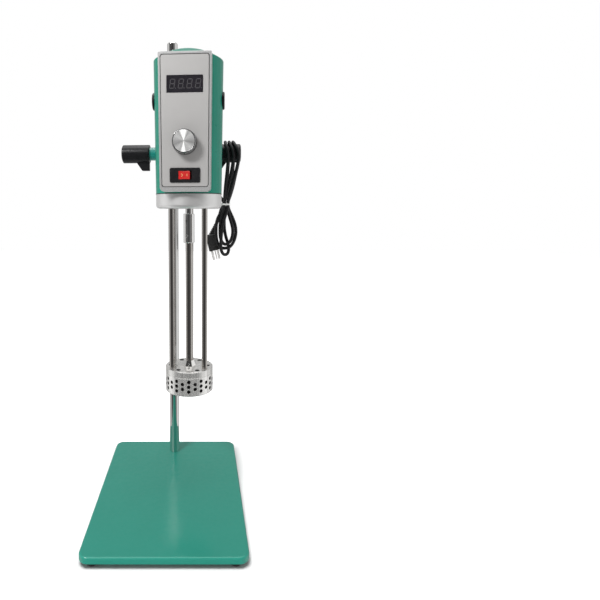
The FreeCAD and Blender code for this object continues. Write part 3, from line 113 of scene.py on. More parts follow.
def draw(points: Sequence[Point]) -> None:
    """Extrudes the selected point from place to place.

    Args:
        points: The places in the piece's frame, first to last.
    """
    here = Vector(points[0])
    bpy.ops.transform.translate(value=here)
    for place in points[1:]:
        there = Vector(place)
        bpy.ops.mesh.extrude_vertices_move(TRANSFORM_OT_translate={"value": there - here})
        here = there


def finish_edit(merge: float = 0.004) -> None:
    """Joins doubles, turns faces outwards and leaves edit mode.

    Args:
        merge: The distance under which points are one.
    """
    bpy.ops.mesh.select_all(action="SELECT")
    bpy.ops.mesh.remove_doubles(threshold=merge)
    bpy.ops.mesh.normals_make_consistent(inside=False)
    bpy.ops.object.mode_set(mode="OBJECT")


def select_edges(piece: Piece, wanted: Test) -> None:
    """Selects in edit mode the edges that pass a test on their two ends.

    Args:
        piece: The piece in edit mode.
        wanted: Says whether an edge between two places is meant.
    """
    bpy.ops.mesh.select_mode(type="EDGE")
    bpy.ops.mesh.select_all(action="DESELECT")
    mesh = bmesh.from_edit_mesh(piece.data)
    for edge in mesh.edges:
        if wanted(edge.verts[0].co, edge.verts[1].co):
            edge.select_set(True)
    bmesh.update_edit_mesh(piece.data)


def select_faces(piece: Piece, wanted: Test) -> None:
    """Selects in edit mode the faces that pass a test on their middle and normal.

    Args:
        piece: The piece in edit mode.
        wanted: Says whether a face with that middle and normal is meant.
    """
    bpy.ops.mesh.select_mode(type="FACE")
    bpy.ops.mesh.select_all(action="DESELECT")
    mesh = bmesh.from_edit_mesh(piece.data)
    for face in mesh.faces:
        if wanted(face.calc_center_median(), face.normal):
            face.select_set(True)
    bmesh.update_edit_mesh(piece.data)


def turned(name: str, profile: Sequence[Pair], steps: int = 72) -> Piece:
    """Turns a profile about the upright, as on a lathe.

    Args:
        name: The piece's name.
        profile: Radius and height of each corner; a closed profile repeats its first corner.
        steps: The number of steps round.

    Returns:
        The piece, in object mode.
    """
    piece = begin(name)
    draw([(radius, 0.0, height) for radius, height in profile])
    bpy.ops.mesh.select_all(action="SELECT")
    bpy.ops.mesh.spin(steps=steps, angle=2 * pi, center=(0, 0, 0), axis=(0, 0, 1))
    finish_edit()
    return piece


def sawn(name: str, corners: Sequence[Pair], front: float, back: float) -> Piece:
    """Cuts a flat outline, seen from the front, out of a slab.

    Args:
        name: The piece's name.
        corners: Across and up of each corner.
        front: Where the slab's front lies, back being positive.
        back: Where its back lies.

    Returns:
        The piece, still in edit mode.
    """
    piece = begin(name)
    draw([(across, front, up) for across, up in corners])
    bpy.ops.mesh.select_all(action="SELECT")
    bpy.ops.mesh.edge_face_add()
    bpy.ops.mesh.extrude_region_move(TRANSFORM_OT_translate={"value": (0, back - front, 0)})
    bpy.ops.mesh.select_all(action="SELECT")
    bpy.ops.mesh.normals_make_consistent(inside=False)
    return piece


def block(name: str, low: Sequence[float], high: Sequence[float]) -> Piece:
    """Adds a block between two corners.

    Args:
        name: The piece's name.
        low: Its lowest corner.
        high: Its highest corner.

    Returns:
        The piece, in edit mode.
    """
    middle = [(a + b) / 2 for a, b in zip(low, high)]
    size = [b - a for a, b in zip(low, high)]
    deselect()
    bpy.ops.mesh.primitive_cube_add(size=1, location=middle, scale=size)
    piece = bpy.context.object
    piece.name = piece.data.name = name
    bpy.ops.object.transform_apply(location=True, rotation=True, scale=True)
    bpy.ops.object.mode_set(mode="EDIT")
    return piece


def bevel_edges(piece: Piece, wanted: Test, width: float, segments: int) -> None:
    """Rounds the edges that pass a test, in edit mode.

    Args:
        piece: The piece in edit mode.
        wanted: Says whether an edge between two places is meant.
        width: How far the rounding reaches.
        segments: Its number of facets.
    """
    select_edges(piece, wanted)
    bpy.ops.mesh.bevel(offset=width, segments=segments, affect="EDGES", profile=0.5)


def runs_back(a: Vector, b: Vector) -> bool:
    """Whether an edge runs from front to back."""
    return abs(a.x - b.x) < STRAIGHT and abs(a.z - b.z) < STRAIGHT


def runs_up(a: Vector, b: Vector) -> bool:
    """Whether an edge stands upright."""
    return abs(a.x - b.x) < STRAIGHT and abs(a.y - b.y) < STRAIGHT


def modify(piece: Piece, kind: str, **settings: object) -> None:
    """Gives a piece a modifier and applies it.

    Args:
        piece: The piece, in object mode.
        kind: The modifier's type.
        settings: Properties to set on it.
    """
    take(piece)
    modifier = piece.modifiers.new(kind.lower(), kind)
    for name, value in settings.items():
        setattr(modifier, name, value)
    bpy.ops.object.modifier_apply(modifier=modifier.name)


def soften(piece: Piece, width: float, segments: int = 3, angle: float = 32.0) -> Piece:
    """Rounds every sharp edge of a finished mesh and shades it smooth.

    Args:
        piece: The piece, in object mode.
        width: The rounding's reach.
        segments: Its number of facets.
        angle: The least angle in degrees that counts as sharp.

    Returns:
        The same piece.
    """
    modify(piece, "BEVEL", width=width, segments=segments, limit_method="ANGLE", angle_limit=radians(angle))
    bpy.ops.object.shade_smooth_by_angle(angle=radians(SMOOTH_BELOW))
    modify(piece, "WEIGHTED_NORMAL", mode="FACE_AREA", weight=100, keep_sharp=True)
    return piece


def carve(piece: Piece, cutter: Piece) -> None:
    """Takes a cutter's shape out of a piece and removes the cutter.

    Args:
        piece: The piece to carve.
        cutter: A closed shape in the same frame.
    """
    modify(piece, "BOOLEAN", operation="DIFFERENCE", solver="EXACT", object=cutter)
    bpy.data.objects.remove(cutter, do_unlink=True)


def join(name: str, pieces: Sequence[Piece]) -> Piece:
    """Joins pieces into one object.

    Args:
        name: The name of the result.
        pieces: The pieces, the first of which stays.

    Returns:
        The joined piece.
    """
    take(pieces[0])
    for piece in pieces[1:]:
        piece.select_set(True)
    if len(pieces) > 1:
        bpy.ops.object.join()
    pieces[0].name = pieces[0].data.name = name
    return pieces[0]


def shifted(piece: Piece, matrix: Matrix) -> Piece:
    """Moves or turns a piece within its frame, and puts that into its mesh.

    Args:
        piece: The piece, in object mode.
        matrix: The move.

    Returns:
        The same piece.
    """
    take(piece)
    piece.matrix_world = matrix @ piece.matrix_world
    bpy.ops.object.transform_apply(location=True, rotation=True, scale=True)
    return piece


def copied(piece: Piece, matrix: Matrix) -> Piece:
    """Copies a piece with a mesh of its own, to another place in its frame.

    Args:
        piece: The piece to copy.
        matrix: Where the copy goes, seen from the first.

    Returns:
        The copy.
    """
    twin = piece.copy()
    twin.data = piece.data.copy()
    bpy.context.scene.collection.objects.link(twin)
    return shifted(twin, matrix)


def eased(
    node: str, name: str, place: Matrix, width: float, segments: int = 2, angle: float = 40.0
) -> Piece:
    """Copies a CAD node's shape into a new piece, in millimetres, and rounds its sharp edges.

    Args:
        node: The node to copy.
        name: The new piece's name.
        place: The frame's place in metres.
        width: The rounding's reach.
        segments: Its number of facets.
        angle: The least angle in degrees that counts as sharp.

    Returns:
        The new piece, in object mode.
    """
    piece = bpy.data.objects.new(name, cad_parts[node].data.copy())
    piece.data.name = name
    bpy.context.scene.collection.objects.link(piece)
    shifted(piece, (place @ Matrix.Scale(MILLIMETRE, 4)).inverted())
    bpy.ops.object.mode_set(mode="EDIT")
    bpy.ops.mesh.select_all(action="SELECT")
    bpy.ops.mesh.remove_doubles(threshold=CAD_DOUBLES)
    bpy.ops.mesh.customdata_custom_splitnormals_clear()
    bpy.ops.mesh.dissolve_limited(angle_limit=radians(CAD_FLAT))
    bpy.ops.object.mode_set(mode="OBJECT")
    return soften(piece, width, segments, angle)


def facing_front() -> Matrix:
    """The turn that lays a lathe's upright along the front, its top towards the viewer."""
    return Matrix.Rotation(radians(90), 4, "X")


def put(
    piece: Piece,
    place: Matrix,
    body: str,
    finish: "Finish",
    replaces: Sequence[str] = (),
) -> Piece:
    """Puts a piece made in millimetres in its place, dresses it and lets it ride.

    Args:
        piece: The piece in millimetres, in its own frame.
        place: The frame's place in metres.
        body: The CAD body that it moves with.
        finish: Its material.
        replaces: The CAD nodes that it stands for.

    Returns:
        The piece in place.
    """
    shifted(piece, place @ Matrix.Scale(MILLIMETRE, 4))
    piece.data.materials.clear()
    piece.data.materials.append(finish.material())
    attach(piece, body)
    if replaces:
        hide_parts(*replaces)
    log.info("%s: %d faces, on %s", piece.name, len(piece.data.polygons), body)
    return piece


def refine(
    node: str,
    name: str,
    place: Matrix,
    body: str,
    finish: "Finish",
    width: float,
    segments: int = 2,
    angle: float = 40.0,
) -> None:
    """Lets a copy of a CAD node, with its sharp edges rounded, stand for the node.

    Args:
        node: The node.
        name: The new piece's name.
        place: The frame's place in metres.
        body: The CAD body that it moves with.
        finish: Its material.
        width: The rounding's reach in millimetres.
        segments: Its number of facets.
        angle: The least angle in degrees that counts as sharp.
    """
    put(eased(node, name, place, width, segments, angle), place, body, finish, [node])


def dress(finish: "Finish", *nodes: str) -> None:
    """Gives CAD nodes that stay as they are their material.

    Args:
        finish: The material.
        nodes: The nodes' names.
    """
    for node in nodes:
        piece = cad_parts[node]
        if not piece.material_slots:
            piece.data.materials.append(finish.material())
        for slot in piece.material_slots:
            slot.material = finish.material()
        log.info("%s: CAD shape in %s", node, finish.name)


# Finishes


def grey(level: float) -> Colour:
    """A grey of a level."""
    return level, level, level


class Nodes:
    """A node tree with short calls that add and join its nodes."""

    def __init__(self, tree: bpy.types.NodeTree) -> None:
        """Keeps the tree that the nodes go into."""
        self.tree = tree

    def add(self, kind: str, **settings: object) -> bpy.types.Node:
        """Adds a node.

        Args:
            kind: The node type.
            settings: Properties to set on it.

        Returns:
            The node.
        """
        node = self.tree.nodes.new(kind)
        for name, value in settings.items():
            setattr(node, name, value)
        return node

    def link(self, start: Socket, end: Socket) -> None:
        """Joins an output to an input."""
        self.tree.links.new(start, end)

    def give(self, value: Socket | Sequence[float], end: Socket) -> None:
        """Joins an output to an input, or sets fixed numbers on it.

        Args:
            value: The output or the numbers.
            end: The input.
        """
        if isinstance(value, Socket):
            self.link(value, end)
        else:
            end.default_value = value

    def mapped(self, where: Socket, **settings: Sequence[float]) -> Socket:
        """Moves, turns or stretches places.

        Args:
            where: The places.
            settings: One of Location, Rotation and Scale.

        Returns:
            The new places.
        """
        node = self.add("ShaderNodeMapping", vector_type="POINT")
        for name, numbers in settings.items():
            node.inputs[name].default_value = numbers
        self.link(where, node.inputs["Vector"])
        return node.outputs["Vector"]

    def vector(self, operation: str, *values: Socket | Point) -> Socket:
        """Reckons with vectors.

        Args:
            operation: What is done with them.
            values: The vectors, joined or fixed.

        Returns:
            The new vector, or the length or distance.
        """
        node = self.add("ShaderNodeVectorMath", operation=operation)
        for value, end in zip(values, node.inputs):
            self.give(value, end)
        return node.outputs["Value" if operation in ("LENGTH", "DISTANCE") else "Vector"]

    def ramp(self, value: Socket, stops: Sequence[tuple[float, Colour]]) -> Socket:
        """Turns a value into colours.

        Args:
            value: What runs along the ramp.
            stops: Places on it, in rising order, and their colours.

        Returns:
            The colour.
        """
        node = self.add("ShaderNodeValToRGB")
        elements = node.color_ramp.elements
        for number, (spot, colour) in enumerate(stops):
            stop = elements[number] if number < 2 else elements.new(spot)
            stop.position = spot
            stop.color = (*colour, 1)
        self.link(value, node.inputs["Fac"])
        return node.outputs["Color"]

    def blended(
        self, share: Socket, first: Socket | Sequence[float], second: Socket | Sequence[float]
    ) -> Socket:
        """Mixes two colours.

        Args:
            share: How much there is of the second.
            first: The first colour.
            second: The second colour.

        Returns:
            The mixed colour.
        """
        node = self.add("ShaderNodeMix", data_type="RGBA")
        for value, name in ((share, "Factor"), (first, "A"), (second, "B")):
            self.give(value, node.inputs[name])
        return node.outputs["Result"]


class Recipe(Nodes):
    """A material's node tree, with calls for the patterns that the finishes share."""

    def __init__(self, name: str) -> None:
        """Starts an empty material with one main shader.

        Args:
            name: The material's name.
        """
        self.material = bpy.data.materials.new(name)
        self.material.use_nodes = True
        super().__init__(self.material.node_tree)
        self.shader = self.tree.nodes["Principled BSDF"]

    def place(self, scale: Point = (1, 1, 1)) -> Socket:
        """Object coordinates, stretched along each direction."""
        return self.mapped(self.add("ShaderNodeTexCoord").outputs["Object"], Scale=scale)

    def noise(self, where: Socket, scale: float, detail: float = 3.0, rough: float = 0.55) -> Socket:
        """Cloudy noise.

        Args:
            where: The place vector.
            scale: Its fineness per metre.
            detail: Its octaves.
            rough: How strong the finer ones are.

        Returns:
            Its value from 0 to 1.
        """
        cloud = self.add("ShaderNodeTexNoise")
        cloud.inputs["Scale"].default_value = scale
        cloud.inputs["Detail"].default_value = detail
        cloud.inputs["Roughness"].default_value = rough
        self.link(where, cloud.inputs["Vector"])
        return cloud.outputs["Fac"]

    def between(
        self, value: Socket, low: float, high: float, start: float = 0.3, end: float = 0.7
    ) -> Socket:
        """Maps a value to a range.

        Args:
            value: The value.
            low: The result at the start.
            high: The result at the end.
            start: Where the range starts.
            end: Where it ends.

        Returns:
            The mapped value.
        """
        range_node = self.add("ShaderNodeMapRange")
        for name, number in zip(("From Min", "From Max", "To Min", "To Max"), (start, end, low, high)):
            range_node.inputs[name].default_value = number
        self.link(value, range_node.inputs["Value"])
        return range_node.outputs["Result"]

    def tint(
        self, value: Socket, first: Colour, second: Colour, start: float = 0.35, end: float = 0.65
    ) -> None:
        """Colours the surface between two colours by a value.

        Args:
            value: The value.
            first: The colour at the start.
            second: The colour at the end.
            start: Where the first colour ends.
            end: Where the second one begins.
        """
        colour = self.ramp(value, ((start, first), (end, second)))
        self.link(colour, self.shader.inputs["Base Color"])

    def relief(self, height: Socket, distance: float, strength: float = 1.0) -> None:
        """Gives the surface a fine relief, over the one it has.

        Args:
            height: The relief's height.
            distance: Its depth in metres.
            strength: How much of it shows.
        """
        bump = self.add("ShaderNodeBump")
        bump.inputs["Distance"].default_value = distance
        bump.inputs["Strength"].default_value = strength
        self.link(height, bump.inputs["Height"])
        normal = self.shader.inputs["Normal"]
        if normal.is_linked:
            self.link(normal.links[0].from_socket, bump.inputs["Normal"])
        self.link(bump.outputs["Normal"], normal)

    def rough(self, value: Socket) -> None:
        """Lets a value set how rough the surface is."""
        self.link(value, self.shader.inputs["Roughness"])

    def set(self, **numbers: float) -> None:
        """Sets numbers on the shader's own sockets, named with underscores for spaces."""
        for name, number in numbers.items():
            self.shader.inputs[name.replace("_", " ")].default_value = number


MATERIALS: dict["Finish", bpy.types.Material] = {}


@dataclass(frozen=True)
class Finish:
    """A surface finish, made once as a material."""

    name: str

    def material(self) -> bpy.types.Material:
        """Makes the finish's material on first use.

        Returns:
            The material.
        """
        if self not in MATERIALS:
            recipe = Recipe(self.name)
            self.mix(recipe)
            MATERIALS[self] = recipe.material
        return MATERIALS[self]

    def mix(self, recipe: Recipe) -> None:
        """Fills the recipe in.

        Args:
            recipe: The material's node tree.
        """
        raise NotImplementedError


@dataclass(frozen=True)
class Enamel(Finish):
    """Gloss enamel baked on metal: even colour, faint orange peel and a clear top."""

    colour: Colour
    deep: Colour
    gloss: float = 0.05
    peel: float = 0.000012
    coat: float = 0.4

    def mix(self, recipe: Recipe) -> None:
        """Fills the recipe in.

        Args:
            recipe: The material's node tree.
        """
        where = recipe.place()
        cloud = recipe.noise(where, scale=26.0, detail=4.0)
        recipe.tint(cloud, self.deep, self.colour, start=0.2, end=0.8)
        haze = recipe.noise(where, scale=140.0, detail=2.0)
        recipe.rough(recipe.between(haze, self.gloss + 0.22, self.gloss + 0.34))
        skin = recipe.noise(where, scale=520.0, detail=2.0, rough=0.4)
        recipe.relief(skin, distance=self.peel, strength=0.5)
        recipe.set(Specular_IOR_Level=0.2, Coat_Weight=self.coat, Coat_Roughness=self.gloss, Coat_IOR=1.45)


class Grain(Enum):
    """Which way a metal's polishing lines run."""

    NONE = (1.0, 1.0, 1.0)
    UPRIGHT = (1.0, 1.0, 0.03)


@dataclass(frozen=True)
class Metal(Finish):
    """Worked metal with fine lines along its grain and a slightly uneven polish."""

    colour: Colour
    shade: Colour
    smooth: float
    rough_spots: float
    grain: Grain = Grain.NONE
    fineness: float = 2600.0
    depth: float = 0.000003

    def mix(self, recipe: Recipe) -> None:
        """Fills the recipe in.

        Args:
            recipe: The material's node tree.
        """
        lines = recipe.noise(recipe.place(self.grain.value), scale=self.fineness, detail=3.0, rough=0.6)
        cloud = recipe.noise(recipe.place(), scale=60.0, detail=4.0)
        recipe.tint(cloud, self.shade, self.colour, start=0.25, end=0.75)
        recipe.rough(recipe.between(lines, self.smooth, self.rough_spots))
        recipe.relief(lines, distance=self.depth, strength=0.6)
        recipe.set(Metallic=1.0)


@dataclass(frozen=True)
class Perforated(Finish):
    """Turned steel with upright streaks painted in as reflections, over painted shade in its bore and hole
    walls.

    The walls are found by their distance from upright axes: dark up to one, bright from the other.
    """

    skin: Colour
    painted_hole_shade: Colour
    axes: tuple[Point, ...]
    dark_to: float
    bright_from: float
    painted_streak_level: float = 0.74
    metallic: float = 0.78

    def nearest(self, recipe: Recipe) -> Socket:
        """How far a point lies, seen from above, from the nearest axis.

        Args:
            recipe: The material's node tree.

        Returns:
            The distance in metres.
        """
        flat = recipe.vector("MULTIPLY", recipe.place(), (1, 1, 0))
        spans = [recipe.vector("DISTANCE", flat, (axis[0], axis[1], 0)) for axis in self.axes]
        near = spans[0]
        for span in spans[1:]:
            least = recipe.add("ShaderNodeMath", operation="MINIMUM")
            recipe.link(near, least.inputs[0])
            recipe.link(span, least.inputs[1])
            near = least.outputs["Value"]
        return near

    def mix(self, recipe: Recipe) -> None:
        """Fills the recipe in.

        Args:
            recipe: The material's node tree.
        """
        # Painted shade: the bore and the hole walls, near the axes, take the dark colour.
        outside = recipe.between(self.nearest(recipe), 0, 1, start=self.dark_to, end=self.bright_from)
        # Painted reflections: upright bands of darker and brighter steel in the colour.
        painted_streaks = recipe.noise(recipe.place((420, 420, 1.5)), scale=1.0, detail=2.0, rough=0.5)
        painted_dark_streak = [channel * self.painted_streak_level for channel in self.skin]
        lit = recipe.blended(recipe.between(painted_streaks, 0, 1, start=0.36, end=0.6), (*painted_dark_streak, 1), (*self.skin, 1))
        colour = recipe.blended(outside, (*self.painted_hole_shade, 1), lit)
        recipe.link(colour, recipe.shader.inputs["Base Color"])
        rings = recipe.noise(recipe.place((6, 6, 900)), scale=3.0, detail=2.0)
        recipe.rough(recipe.between(rings, 0.14, 0.2))
        recipe.relief(rings, distance=0.000002, strength=0.15)
        recipe.set(Metallic=self.metallic)


@dataclass(frozen=True)
class CastMetal(Finish):
    """Fine blasted or painted silver casting with a soft sheen."""

    colour: Colour
    shade: Colour
    metallic: float = 0.7
    smooth: float = 0.42

    def mix(self, recipe: Recipe) -> None:
        """Fills the recipe in.

        Args:
            recipe: The material's node tree.
        """
        where = recipe.place()
        grit = recipe.noise(where, scale=3400.0, detail=2.0, rough=0.7)
        cloud = recipe.noise(where, scale=38.0, detail=5.0)
        recipe.tint(cloud, self.shade, self.colour, start=0.25, end=0.75)
        recipe.rough(recipe.between(grit, self.smooth, self.smooth + 0.14))
        recipe.relief(grit, distance=0.00001, strength=0.6)
        recipe.set(Metallic=self.metallic, Specular_IOR_Level=0.5)


@dataclass(frozen=True)
class Plastic(Finish):
    """Moulded plastic or rubber with a fine spark-eroded texture."""

    colour: Colour
    shade: Colour
    smooth: float
    texture: float = 1500.0
    depth: float = 0.000015
    coat: float = 0.0
    specular: float = 0.5

    def mix(self, recipe: Recipe) -> None:
        """Fills the recipe in.

        Args:
            recipe: The material's node tree.
        """
        where = recipe.place()
        skin = recipe.noise(where, scale=self.texture, detail=3.0, rough=0.6)
        cloud = recipe.noise(where, scale=90.0, detail=4.0)
        recipe.tint(cloud, self.shade, self.colour, start=0.3, end=0.7)
        recipe.rough(recipe.between(skin, self.smooth, self.smooth + 0.12))
        recipe.relief(skin, distance=self.depth, strength=0.6)
        recipe.set(Coat_Weight=self.coat, Coat_Roughness=0.06, Specular_IOR_Level=self.specular)


@dataclass(frozen=True)
class SpunDisc(Finish):
    """A knob's face turned on a lathe: fine rings, and a fan of bright and dark wedges painted into its
    colour as painted highlights and reflections.
    """

    centre: Point
    painted_wedge_fan: tuple[Pair, ...]
    warm: Colour = (1.0, 0.994, 0.985)

    def mix(self, recipe: Recipe) -> None:
        """Fills the recipe in.

        Args:
            recipe: The material's node tree.
        """
        centred = recipe.mapped(recipe.place(), Location=[-value for value in self.centre])
        straight = recipe.mapped(centred, Rotation=(0, 0, -HEAD_TURN))
        face = recipe.mapped(straight, Rotation=(radians(-90), 0, 0))
        angle = recipe.add("ShaderNodeTexGradient", gradient_type="RADIAL")
        recipe.link(face, angle.inputs["Vector"])
        # Painted highlights: the colour runs bright and dark in wedges round the face, by angle alone.
        stops = [(spot, tuple(level * channel for channel in self.warm)) for spot, level in self.painted_wedge_fan]
        recipe.link(recipe.ramp(angle.outputs["Fac"], stops), recipe.shader.inputs["Base Color"])
        rings = recipe.add("ShaderNodeTexWave", wave_type="RINGS", rings_direction="Z")
        rings.inputs["Scale"].default_value = 900.0
        rings.inputs["Distortion"].default_value = 1.2
        recipe.link(face, rings.inputs["Vector"])
        recipe.rough(recipe.between(rings.outputs["Fac"], 0.2, 0.32, start=0.0, end=1.0))
        recipe.relief(rings.outputs["Fac"], distance=0.000006, strength=0.35)
        recipe.set(Metallic=0.3)


@dataclass(frozen=True)
class CordRubber(Finish):
    """The supply cord's sheath: matt with a faint sheen and the lay of its cores just showing."""

    colour: Colour
    shade: Colour

    def mix(self, recipe: Recipe) -> None:
        """Fills the recipe in.

        Args:
            recipe: The material's node tree.
        """
        where = recipe.place()
        skin = recipe.noise(where, scale=1800.0, detail=2.0, rough=0.6)
        lay = recipe.noise(where, scale=160.0, detail=2.0)
        recipe.tint(lay, self.shade, self.colour)
        recipe.rough(recipe.between(lay, 0.42, 0.54))
        recipe.relief(skin, distance=0.00001, strength=0.5)
        recipe.relief(lay, distance=0.00015, strength=0.4)
        recipe.set(Specular_IOR_Level=0.35)


@dataclass(frozen=True)
class Windings(Finish):
    """Copper wire in lacquer, wound side by side."""

    colour: Colour
    shade: Colour

    def mix(self, recipe: Recipe) -> None:
        """Fills the recipe in.

        Args:
            recipe: The material's node tree.
        """
        wire = recipe.add("ShaderNodeTexWave", wave_type="BANDS", bands_direction="DIAGONAL")
        wire.inputs["Scale"].default_value = 420.0
        wire.inputs["Distortion"].default_value = 1.5
        recipe.link(recipe.place(), wire.inputs["Vector"])
        recipe.tint(wire.outputs["Fac"], self.shade, self.colour, start=0.1, end=0.7)
        recipe.rough(recipe.between(wire.outputs["Fac"], 0.42, 0.26))
        recipe.relief(wire.outputs["Fac"], distance=0.00015, strength=0.8)
        recipe.set(Metallic=0.85, Coat_Weight=0.4)


@dataclass(frozen=True)
class Sheets(Finish):
    """A stack of thin pressed sheets, seen at its edge."""

    colour: Colour
    shade: Colour

    def mix(self, recipe: Recipe) -> None:
        """Fills the recipe in.

        Args:
            recipe: The material's node tree.
        """
        edge = recipe.add("ShaderNodeTexWave", wave_type="BANDS", bands_direction="Z")
        edge.inputs["Scale"].default_value = 320.0
        recipe.link(recipe.place(), edge.inputs["Vector"])
        recipe.tint(edge.outputs["Fac"], self.shade, self.colour, start=0.0, end=0.6)
        recipe.rough(recipe.between(recipe.noise(recipe.place(), scale=400.0), 0.4, 0.6))
        recipe.relief(edge.outputs["Fac"], distance=0.00008, strength=0.8)
        recipe.set(Metallic=0.9)


GREEN = Enamel("green enamel", (0.003, 0.176, 0.120), (0.002, 0.158, 0.106), coat=0.2)
CLAMP_GREEN = Enamel(
    "green clamp enamel", (0.005, 0.180, 0.150), (0.004, 0.165, 0.137), gloss=0.06, peel=0.000006, coat=1.0
)
PLATE_GREEN = Enamel(
    "green plate enamel", (0.011, 0.206, 0.152), (0.009, 0.194, 0.142), gloss=0.2, peel=0.00002, coat=0.7
)
POLISHED = Metal(
    "polished steel", (0.70, 0.695, 0.685), (0.66, 0.655, 0.645),
    smooth=0.02, rough_spots=0.05, grain=Grain.UPRIGHT,
)
GROUND = Metal(
    "ground steel", (0.52, 0.495, 0.47), (0.47, 0.445, 0.42),
    smooth=0.08, rough_spots=0.14, grain=Grain.UPRIGHT,
)
CHROME = Metal(
    "chromed steel", (0.92, 0.91, 0.90), (0.86, 0.85, 0.84),
    smooth=0.03, rough_spots=0.08, grain=Grain.UPRIGHT,
)
COPPER = Metal(
    "copper", (0.78, 0.36, 0.20), (0.62, 0.27, 0.15), smooth=0.2, rough_spots=0.34, grain=Grain.UPRIGHT
)
# Darkened turned aluminium: painted shade on the speed knob's side and skirt. The bush screw uses it too.
KNOB_EDGE = Metal("turned knob edge", grey(0.34), grey(0.26), smooth=0.2, rough_spots=0.3)
ZINC = Metal("zinc plated screws", (0.60, 0.60, 0.58), (0.48, 0.48, 0.46), smooth=0.24, rough_spots=0.4)
BUSH_STEEL = Metal(
    "bright hexagon steel", (0.90, 0.89, 0.87), (0.82, 0.81, 0.79), smooth=0.02, rough_spots=0.05
)
ROTOR_STEEL = Metal("shaded rotor steel", grey(0.12), grey(0.07), smooth=0.3, rough_spots=0.45)
BRONZE = Metal("sintered bronze", (0.62, 0.42, 0.22), (0.50, 0.33, 0.17), smooth=0.3, rough_spots=0.46)
SPRING = Metal("spring steel", (0.48, 0.47, 0.46), (0.36, 0.36, 0.35), smooth=0.2, rough_spots=0.32)
SHAFT_AXIS = tuple(HEAD.translation)
FLOW_CIRCLE = 0.027
FLOW_AXES = tuple(
    tuple(HEAD @ Vector((FLOW_CIRCLE * cos(turn * pi / 3), FLOW_CIRCLE * sin(turn * pi / 3), 0)))
    for turn in range(6)
)
# In both stator finishes the second colour is painted shade for the bore and hole walls.
STATOR_SKIN = Perforated(
    "perforated stainless steel", (0.82, 0.81, 0.79), grey(0.028), (SHAFT_AXIS,),
    dark_to=0.0344, bright_from=0.0347,
)
STATOR_TOP = Perforated(
    "turned stator plate", (0.74, 0.73, 0.71), grey(0.02), FLOW_AXES, dark_to=0.0034, bright_from=0.0036
)
SILVER = CastMetal("silver casting", (0.72, 0.715, 0.71), (0.68, 0.675, 0.67), metallic=0.78, smooth=0.32)
PANEL_SHELL = CastMetal(
    "silver panel shell", (0.50, 0.50, 0.498), (0.47, 0.47, 0.468), metallic=0.6, smooth=0.24
)
PANEL_FACE = CastMetal(
    "silver panel face", (0.335, 0.327, 0.322), (0.318, 0.312, 0.306), metallic=0.3, smooth=0.42
)
PIN_METAL = CastMetal(
    "nickelled plug pins", (0.86, 0.85, 0.83), (0.80, 0.79, 0.77), metallic=0.45, smooth=0.3
)
KNOB_PLASTIC = Plastic(
    "black knob plastic", (0.010, 0.010, 0.011), (0.007, 0.007, 0.008),
    smooth=0.2, texture=1100.0, specular=0.24,
)
GLOSS_BLACK = Plastic(
    "gloss black plastic", (0.012, 0.012, 0.013), (0.008, 0.008, 0.009),
    smooth=0.1, texture=500.0, depth=0.000004, coat=0.5,
)
WINDOW = Plastic(
    "smoked window", (0.016, 0.014, 0.018), (0.012, 0.011, 0.014),
    smooth=0.08, texture=300.0, depth=0.000002, coat=0.5,
)
SEGMENT = Plastic(
    "idle display segment", (0.027, 0.025, 0.029), (0.022, 0.020, 0.024),
    smooth=0.5, texture=900.0, depth=0.000003,
)
RED = Plastic(
    "red rocker plastic", (0.42, 0.014, 0.012), (0.34, 0.011, 0.010),
    smooth=0.18, texture=700.0, depth=0.000005, coat=0.4,
)
SWITCH_MARK = Plastic("pale switch marks", (0.62, 0.36, 0.16), (0.54, 0.30, 0.13), smooth=0.4)
# Black rubber for the feet; the same black is used for the painted shade strips in the face groove and at
# the housing seam.
RUBBER_AND_SHADE_BLACK = Plastic("black foot rubber", grey(0.022), grey(0.014), smooth=0.62, texture=900.0, depth=0.00003)
WHITE_PLASTIC = Plastic("white nylon", (0.74, 0.74, 0.72), (0.66, 0.66, 0.64), smooth=0.38, texture=800.0)
PLUG_RUBBER = Plastic(
    "black plug vinyl", grey(0.030), grey(0.022), smooth=0.42, texture=1300.0, depth=0.00002
)
CARBON = Plastic("carbon", (0.035, 0.034, 0.034), grey(0.020), smooth=0.5, texture=1600.0, depth=0.00003)
BOARD = Plastic(
    "green circuit board", (0.012, 0.12, 0.045), (0.008, 0.085, 0.032),
    smooth=0.3, texture=600.0, depth=0.00001, coat=0.3,
)
CORD = CordRubber("black cord sheath", (0.013, 0.013, 0.014), (0.009, 0.009, 0.010))
WIRE = Windings("lacquered copper wire", (0.70, 0.29, 0.13), (0.36, 0.13, 0.06))
LAMINATED = Sheets("laminated steel", (0.42, 0.41, 0.40), (0.20, 0.195, 0.19))


# The stand


@dataclass
class Stand:
    """Base plate, feet and the column with its bolt."""

    bar_radius: float = 8.0
    dome: float = 1.5
    bar_rounding: float = 0.7
    body: str = "stand"

    def build(self) -> None:
        """Dresses the plate and makes the column."""
        refine(
            "base_plate", "enamelled_plate", STAND, self.body, PLATE_GREEN,
            width=0.7, segments=3
        )
        dress(RUBBER_AND_SHADE_BLACK, "base_feet")
        dress(ZINC, "foot_screws", "column_bolt")
        self.make_column()

    def make_column(self) -> None:
        """Turns the polished column, with a rounded free end."""
        low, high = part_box("column")
        bottom, top = low.z / MILLIMETRE, high.z / MILLIMETRE
        middle = (low + high) / 2
        r = self.bar_radius
        profile = [(0, bottom), (r, bottom), (r, top - self.dome), (r - self.dome, top), (0, top)]
        bar = soften(turned("column_bar", profile), self.bar_rounding, segments=4)
        place = Matrix.Translation((middle.x, middle.y, 0))
        put(bar, place, self.body, POLISHED, ["column"])


# The clamp


